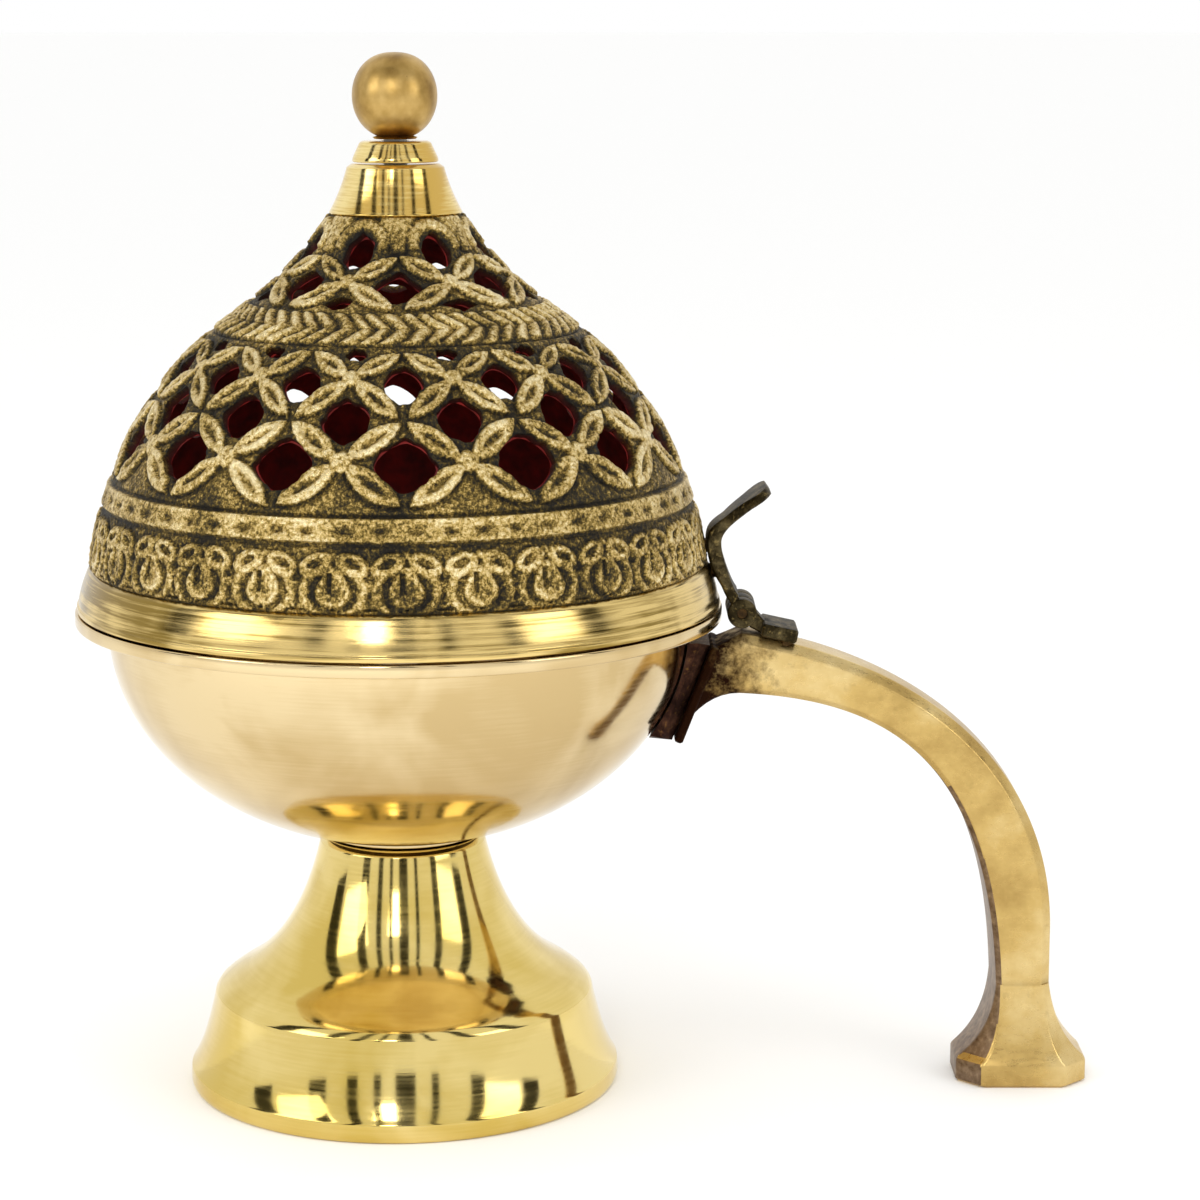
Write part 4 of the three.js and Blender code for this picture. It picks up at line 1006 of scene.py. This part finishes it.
# ---------------------------------------------------------------- lid: turned cone
# The top of the casting is turned smooth again: a bright cone with a small step, and a web inside for the
# stud.
STUD_HOLE_R = 2.25
COLLAR_BASE_R = 7.6
cone_foot = [tuple(p) for p in dome if p[1] >= CROWN_TOP - 0.5]
cone_inside = [p for p in inset(cone_foot, CAST_WALL) if p[1] < NECK_TOP - 4]
cone_outline = (
    [cone_inside[0], (cone_foot[0][0] - 0.5, cone_foot[0][1])]
    + [(r + 0.05, z) for r, z in cone_foot if z > CROWN_TOP]
    + [(COLLAR_BASE_R, NECK_TOP + 0.6), (STUD_HOLE_R, NECK_TOP + 0.6), (STUD_HOLE_R, NECK_TOP - 4)]
    + cone_inside[::-1]
)
cone_brass = polished_brass("brass, turned cone", "#f3dd98", "#cfab58", 0.12, 0.3, 6, 0.3)
cone = piece("lid_cone", [turned(soften(cone_outline, 0.15), 128)], [cone_brass])
hand_over(cone, "lid", "polished_brass")

# ---------------------------------------------------------------- finial
# A thin turned ring and a slightly flattened ball, drawn down on the cone by the stud. The ball is only
# brushed.
collar_low, collar_high = span("finial_collar")
collar_outline = [(STUD_HOLE_R, collar_low[2]), (COLLAR_BASE_R - 0.1, collar_low[2]),
                  (COLLAR_BASE_R - 0.2, collar_low[2] + 0.7), (6.2, collar_high[2] - 0.3),
                  (5.6, collar_high[2]), (STUD_HOLE_R, collar_high[2]), (STUD_HOLE_R, collar_low[2])]
collar = piece("finial_ring", [turned(soften(collar_outline, 0.25), 128)], [cone_brass])
hand_over(collar, "lid", "polished_brass", "finial_collar")

knob_low, knob_high = span("finial_knob")
KNOB_R = knob_high[1] - EASE
KNOB_TOP = knob_high[2] - EASE
knob_middle = (knob_low[2] + KNOB_TOP) / 2
knob_tall = (KNOB_TOP - knob_low[2]) / 2
knob_side = []
for slope in np.linspace(-68, 90, 60):
    way = math.radians(slope)
    knob_side.append((KNOB_R * max(0, math.cos(way)) ** 0.86, knob_middle + knob_tall * math.sin(way)))
knob_outline = ([(STUD_HOLE_R, knob_low[2]), (3.6, knob_low[2]), (3.9, knob_low[2] + 0.3)] + knob_side
                + [(0, KNOB_TOP)])
stud_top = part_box("finial_stud")[1].z / MM + 0.3
knob_outline = [(0, stud_top), (STUD_HOLE_R, stud_top)] + knob_outline


def brushed_brass():
    """Brass brushed with coarse paper round the ball: satin, grey-gold, with fine scratches."""
    material, tree, shader = new_material("brass, turned and brushed")
    place = {"Vector": add_node(tree, "TexCoord").outputs["Object"]}
    stretch = add_node(tree, "Mapping", {"Scale": (1 / (0.5 * MM), 1 / (0.5 * MM), 1 / (4 * MM))}, place)
    hair = add_node(tree, "TexNoise", {"Scale": 1, "Detail": 7, "Roughness": 0.75}, {"Vector": stretch})
    clouds = add_node(tree, "TexNoise", {"Scale": 1 / (5 * MM), "Detail": 4}, place)
    tint = add_node(tree, "ValToRGB", {"stops": [(0.3, "#8c6d38"), (0.5, "#b08f50"), (0.75, "#cfae6e")]},
                    {"Fac": clouds})
    gloss = add_node(tree, "MapRange", {"From Min": 0.3, "From Max": 0.7, "To Min": 0.26, "To Max": 0.46},
                     {"Value": hair})
    bump = add_node(tree, "Bump", {"Strength": 0.4, "Distance": 0.05 * MM}, {"Height": hair})
    join(tree, shader, {"Base Color": tint, "Roughness": gloss, "Normal": bump})
    return material


knob = piece("finial_ball", [turned(knob_outline, 128)], [brushed_brass()])
hand_over(knob, "lid", "satin_brass", "finial_knob")

# ---------------------------------------------------------------- hinge: lever leaf and lid rivets
# One strip of brass, forged to shape: a fork that carries the two outer knuckles clear of the middle one, a
# strap riveted up the side of the lid, and a thumb lever that leans away from it and ends in a ragged spoon.
lever_high = span("hinge_lever_leaf")[1]
STRAP_HALF = 4
LEVER_HALF = lever_high[1] - EASE
LEAF_T = 1.8
STRAP_X = BAND_TOP_R + 0.5 + LEAF_T / 2
TIP = np.array([lever_high[0] - 0.9, lever_high[2] - 1.4])

ROOT_WAY = np.array([-math.sin(math.radians(30)), math.cos(math.radians(30))])  # from the pin up to the strap
ROOT_OUT = np.array([ROOT_WAY[1], -ROOT_WAY[0]])
strap_root = tuple(PIN + ROOT_WAY * (KNUCKLE_R + KNUCKLE_GAP + 0.15))
strap_path = (
    bezier(strap_root, (LID_R + 1.3, LID_FOOT + 2.4), (STRAP_X + 1.2, BAND_TOP - 2),
           (STRAP_X, BAND_TOP + 1.4), (STRAP_X, BAND_TOP + 3.2), steps=16)
    + bezier((STRAP_X, BAND_TOP + 3.4), (STRAP_X - 0.1, BAND_TOP + 5.6), (STRAP_X + 1.6, BAND_TOP + 7.6),
             tuple(TIP), steps=22)
)
strap = evenly(strap_path, 44)
strap_way = np.gradient(strap, axis=0)
strap_way /= np.linalg.norm(strap_way, axis=1)[:, None]
strap_out = np.stack([strap_way[:, 1], -strap_way[:, 0]], axis=1)
lever_rings = []
for i, (at, out) in enumerate(zip(strap, strap_out)):
    share = i / (len(strap) - 1)
    half_width = np.interp(share, [0, 0.16, 0.34, 0.6, 0.8, 0.92, 0.97, 1],
                           [HINGE_HALF - 0.1, HINGE_HALF - 0.3, STRAP_HALF, STRAP_HALF - 0.2,
                            LEVER_HALF - 1.4, LEVER_HALF - 0.1, LEVER_HALF - 0.7, LEVER_HALF - 2.4])
    ragged = 0.15 * chance.normal() if share > 0.7 else 0
    thick = LEAF_T * np.interp(share, [0, 0.75, 1], [1, 0.95, 0.8]) / 2
    seated = np.interp(share, [0.12, 0.26, 0.5, 0.62], [0, 0.7, 0.7, 0])
    inner, outer = at - out * (thick + seated), at + out * (thick + 0.15)
    lever_rings.append(bar_ring(inner, outer, min(half_width + ragged, LEVER_HALF), 0.35, 0.45, 0.15))


def fork_arm(side):
    """The arm from an outer knuckle up to the strap, beside the middle knuckle."""
    inner = MIDDLE_HALF + KNUCKLE_GAP
    middle = side * (inner + HINGE_HALF) / 2
    rings = []
    for along in (1.2, 2.4, KNUCKLE_R + KNUCKLE_GAP + 1.1):
        at = PIN + ROOT_WAY * along
        face = ROOT_OUT * LEAF_T / 2
        ring = bar_ring(at - face, at + face, (HINGE_HALF - inner) / 2 - 0.15, 0.3, 0.4, 0.12)
        rings.append([(x, y + middle, z) for x, y, z in ring])
    return lofted(rings)


near_knuckle = knuckle(-HINGE_HALF, -MIDDLE_HALF - KNUCKLE_GAP)
far_knuckle = knuckle(MIDDLE_HALF + KNUCKLE_GAP, HINGE_HALF)
lever_parts = [lofted(lever_rings), fork_arm(-1), fork_arm(1), near_knuckle, far_knuckle]
lever = piece("thumb_lever", lever_parts, [dark_leaf])
hand_over(lever, "lid", "dark_brass", "hinge_lever_leaf")
kept(dark_bolt, 0.1, "lid_rivet_lower", "lid_rivet_upper")

# ---------------------------------------------------------------- floor, lights and camera
# A pale floor under a light tent: an even white sky, soft lamps over the front, and dark gaps between the
# tent's panels, which polished brass mirrors as upright stripes.
FLOOR_R = 40000
FLOOR_SIDES = 64


def stage_piece(name, points, faces, finish, colour, roughness):
    """Something of the studio, no part of the burner, in one flat matt colour."""
    mesh = bpy.data.meshes.new(name)
    mesh.from_pydata(points, [], faces)
    material, _, shader = new_material(finish, metallic=0)
    shader.inputs["Base Color"].default_value = linear(colour)
    shader.inputs["Roughness"].default_value = roughness
    mesh.materials.append(material)
    return in_scene(name, mesh)


floor_points = [(FLOOR_R * MM * math.cos(a), FLOOR_R * MM * math.sin(a), 0)
                for a in np.linspace(0, TURN, FLOOR_SIDES + 1)[:-1]]
floor = stage_piece("floor", floor_points, [tuple(range(FLOOR_SIDES))], "paper, matt white", "#fdfdfc", 0.9)

TENT_R = 900
GAPS = ((3.5, 11), (-12, 4), (-26, 6), (-46, 10), (20, 4), (44, 8), (-80, 12), (76, 10))
GAP_ELEVATIONS = range(12, 85, 6)
gap_points = []
gap_faces = []
for middle, wide in GAPS:
    start = len(gap_points)
    for elevation in GAP_ELEVATIONS:
        across = TENT_R * MM * math.cos(math.radians(elevation))
        for degrees in (middle - wide / 2, middle + wide / 2):
            turn = math.radians(degrees - 90)
            gap_points.append((AXIS_X * MM + across * math.cos(turn), across * math.sin(turn),
                               TENT_R * MM * math.sin(math.radians(elevation))))
    for i in range(start, len(gap_points) - 2, 2):
        gap_faces.append((i, i + 1, i + 3, i + 2))
gaps = stage_piece("tent_gaps", gap_points, gap_faces, "felt, dark grey", "#201f16", 1)
gaps.visible_camera = False
gaps.visible_diffuse = False
gaps.visible_shadow = False


def soft_lamp(name, place, target, size, brightness):
    """A square panel of light, as bright as brightness times the white sky."""
    lamp = bpy.data.lights.new(name, "AREA")
    lamp.shape = "SQUARE"
    lamp.size = size * MM
    lamp.energy = brightness * math.pi * (size * MM) ** 2
    made = in_scene(name, lamp)
    made.location = [v * MM for v in place]
    way = np.array(target, float) - np.array(place, float)
    flat = math.hypot(way[0], way[1])
    made.rotation_euler = (math.atan2(flat, -way[2]), 0, math.atan2(way[1], way[0]) - math.pi / 2)
    made.visible_camera = False


MIDDLE_Z = 100
soft_lamp("front_lamp", (AXIS_X - 60, -820, 520), (AXIS_X, 0, MIDDLE_Z), 300, 7)
soft_lamp("left_lamp", (AXIS_X - 620, -420, 460), (AXIS_X, 0, MIDDLE_Z), 420, 2.5)
soft_lamp("right_lamp", (640, -460, 420), (0, 0, MIDDLE_Z), 420, 2)
world = bpy.data.worlds.new("white tent")
bpy.context.scene.world = world
world.use_nodes = True
sky = world.node_tree.nodes["Background"]
sky.inputs["Color"].default_value = (1, 1, 1, 1)
sky.inputs["Strength"].default_value = 1
bpy.context.scene.view_settings.view_transform = "Standard"

lens = bpy.data.cameras.new("camera")
lens.lens = 96.33
lens.sensor_width = 36
CAMERA_AT = (2.4, -560, 189.06)
CAMERA_TILT = 10.288  # degrees below level
camera = in_scene("camera", lens)
camera.location = [v * MM for v in CAMERA_AT]
camera.rotation_euler = (math.radians(90 - CAMERA_TILT), 0, 0)
bpy.context.scene.camera = camera
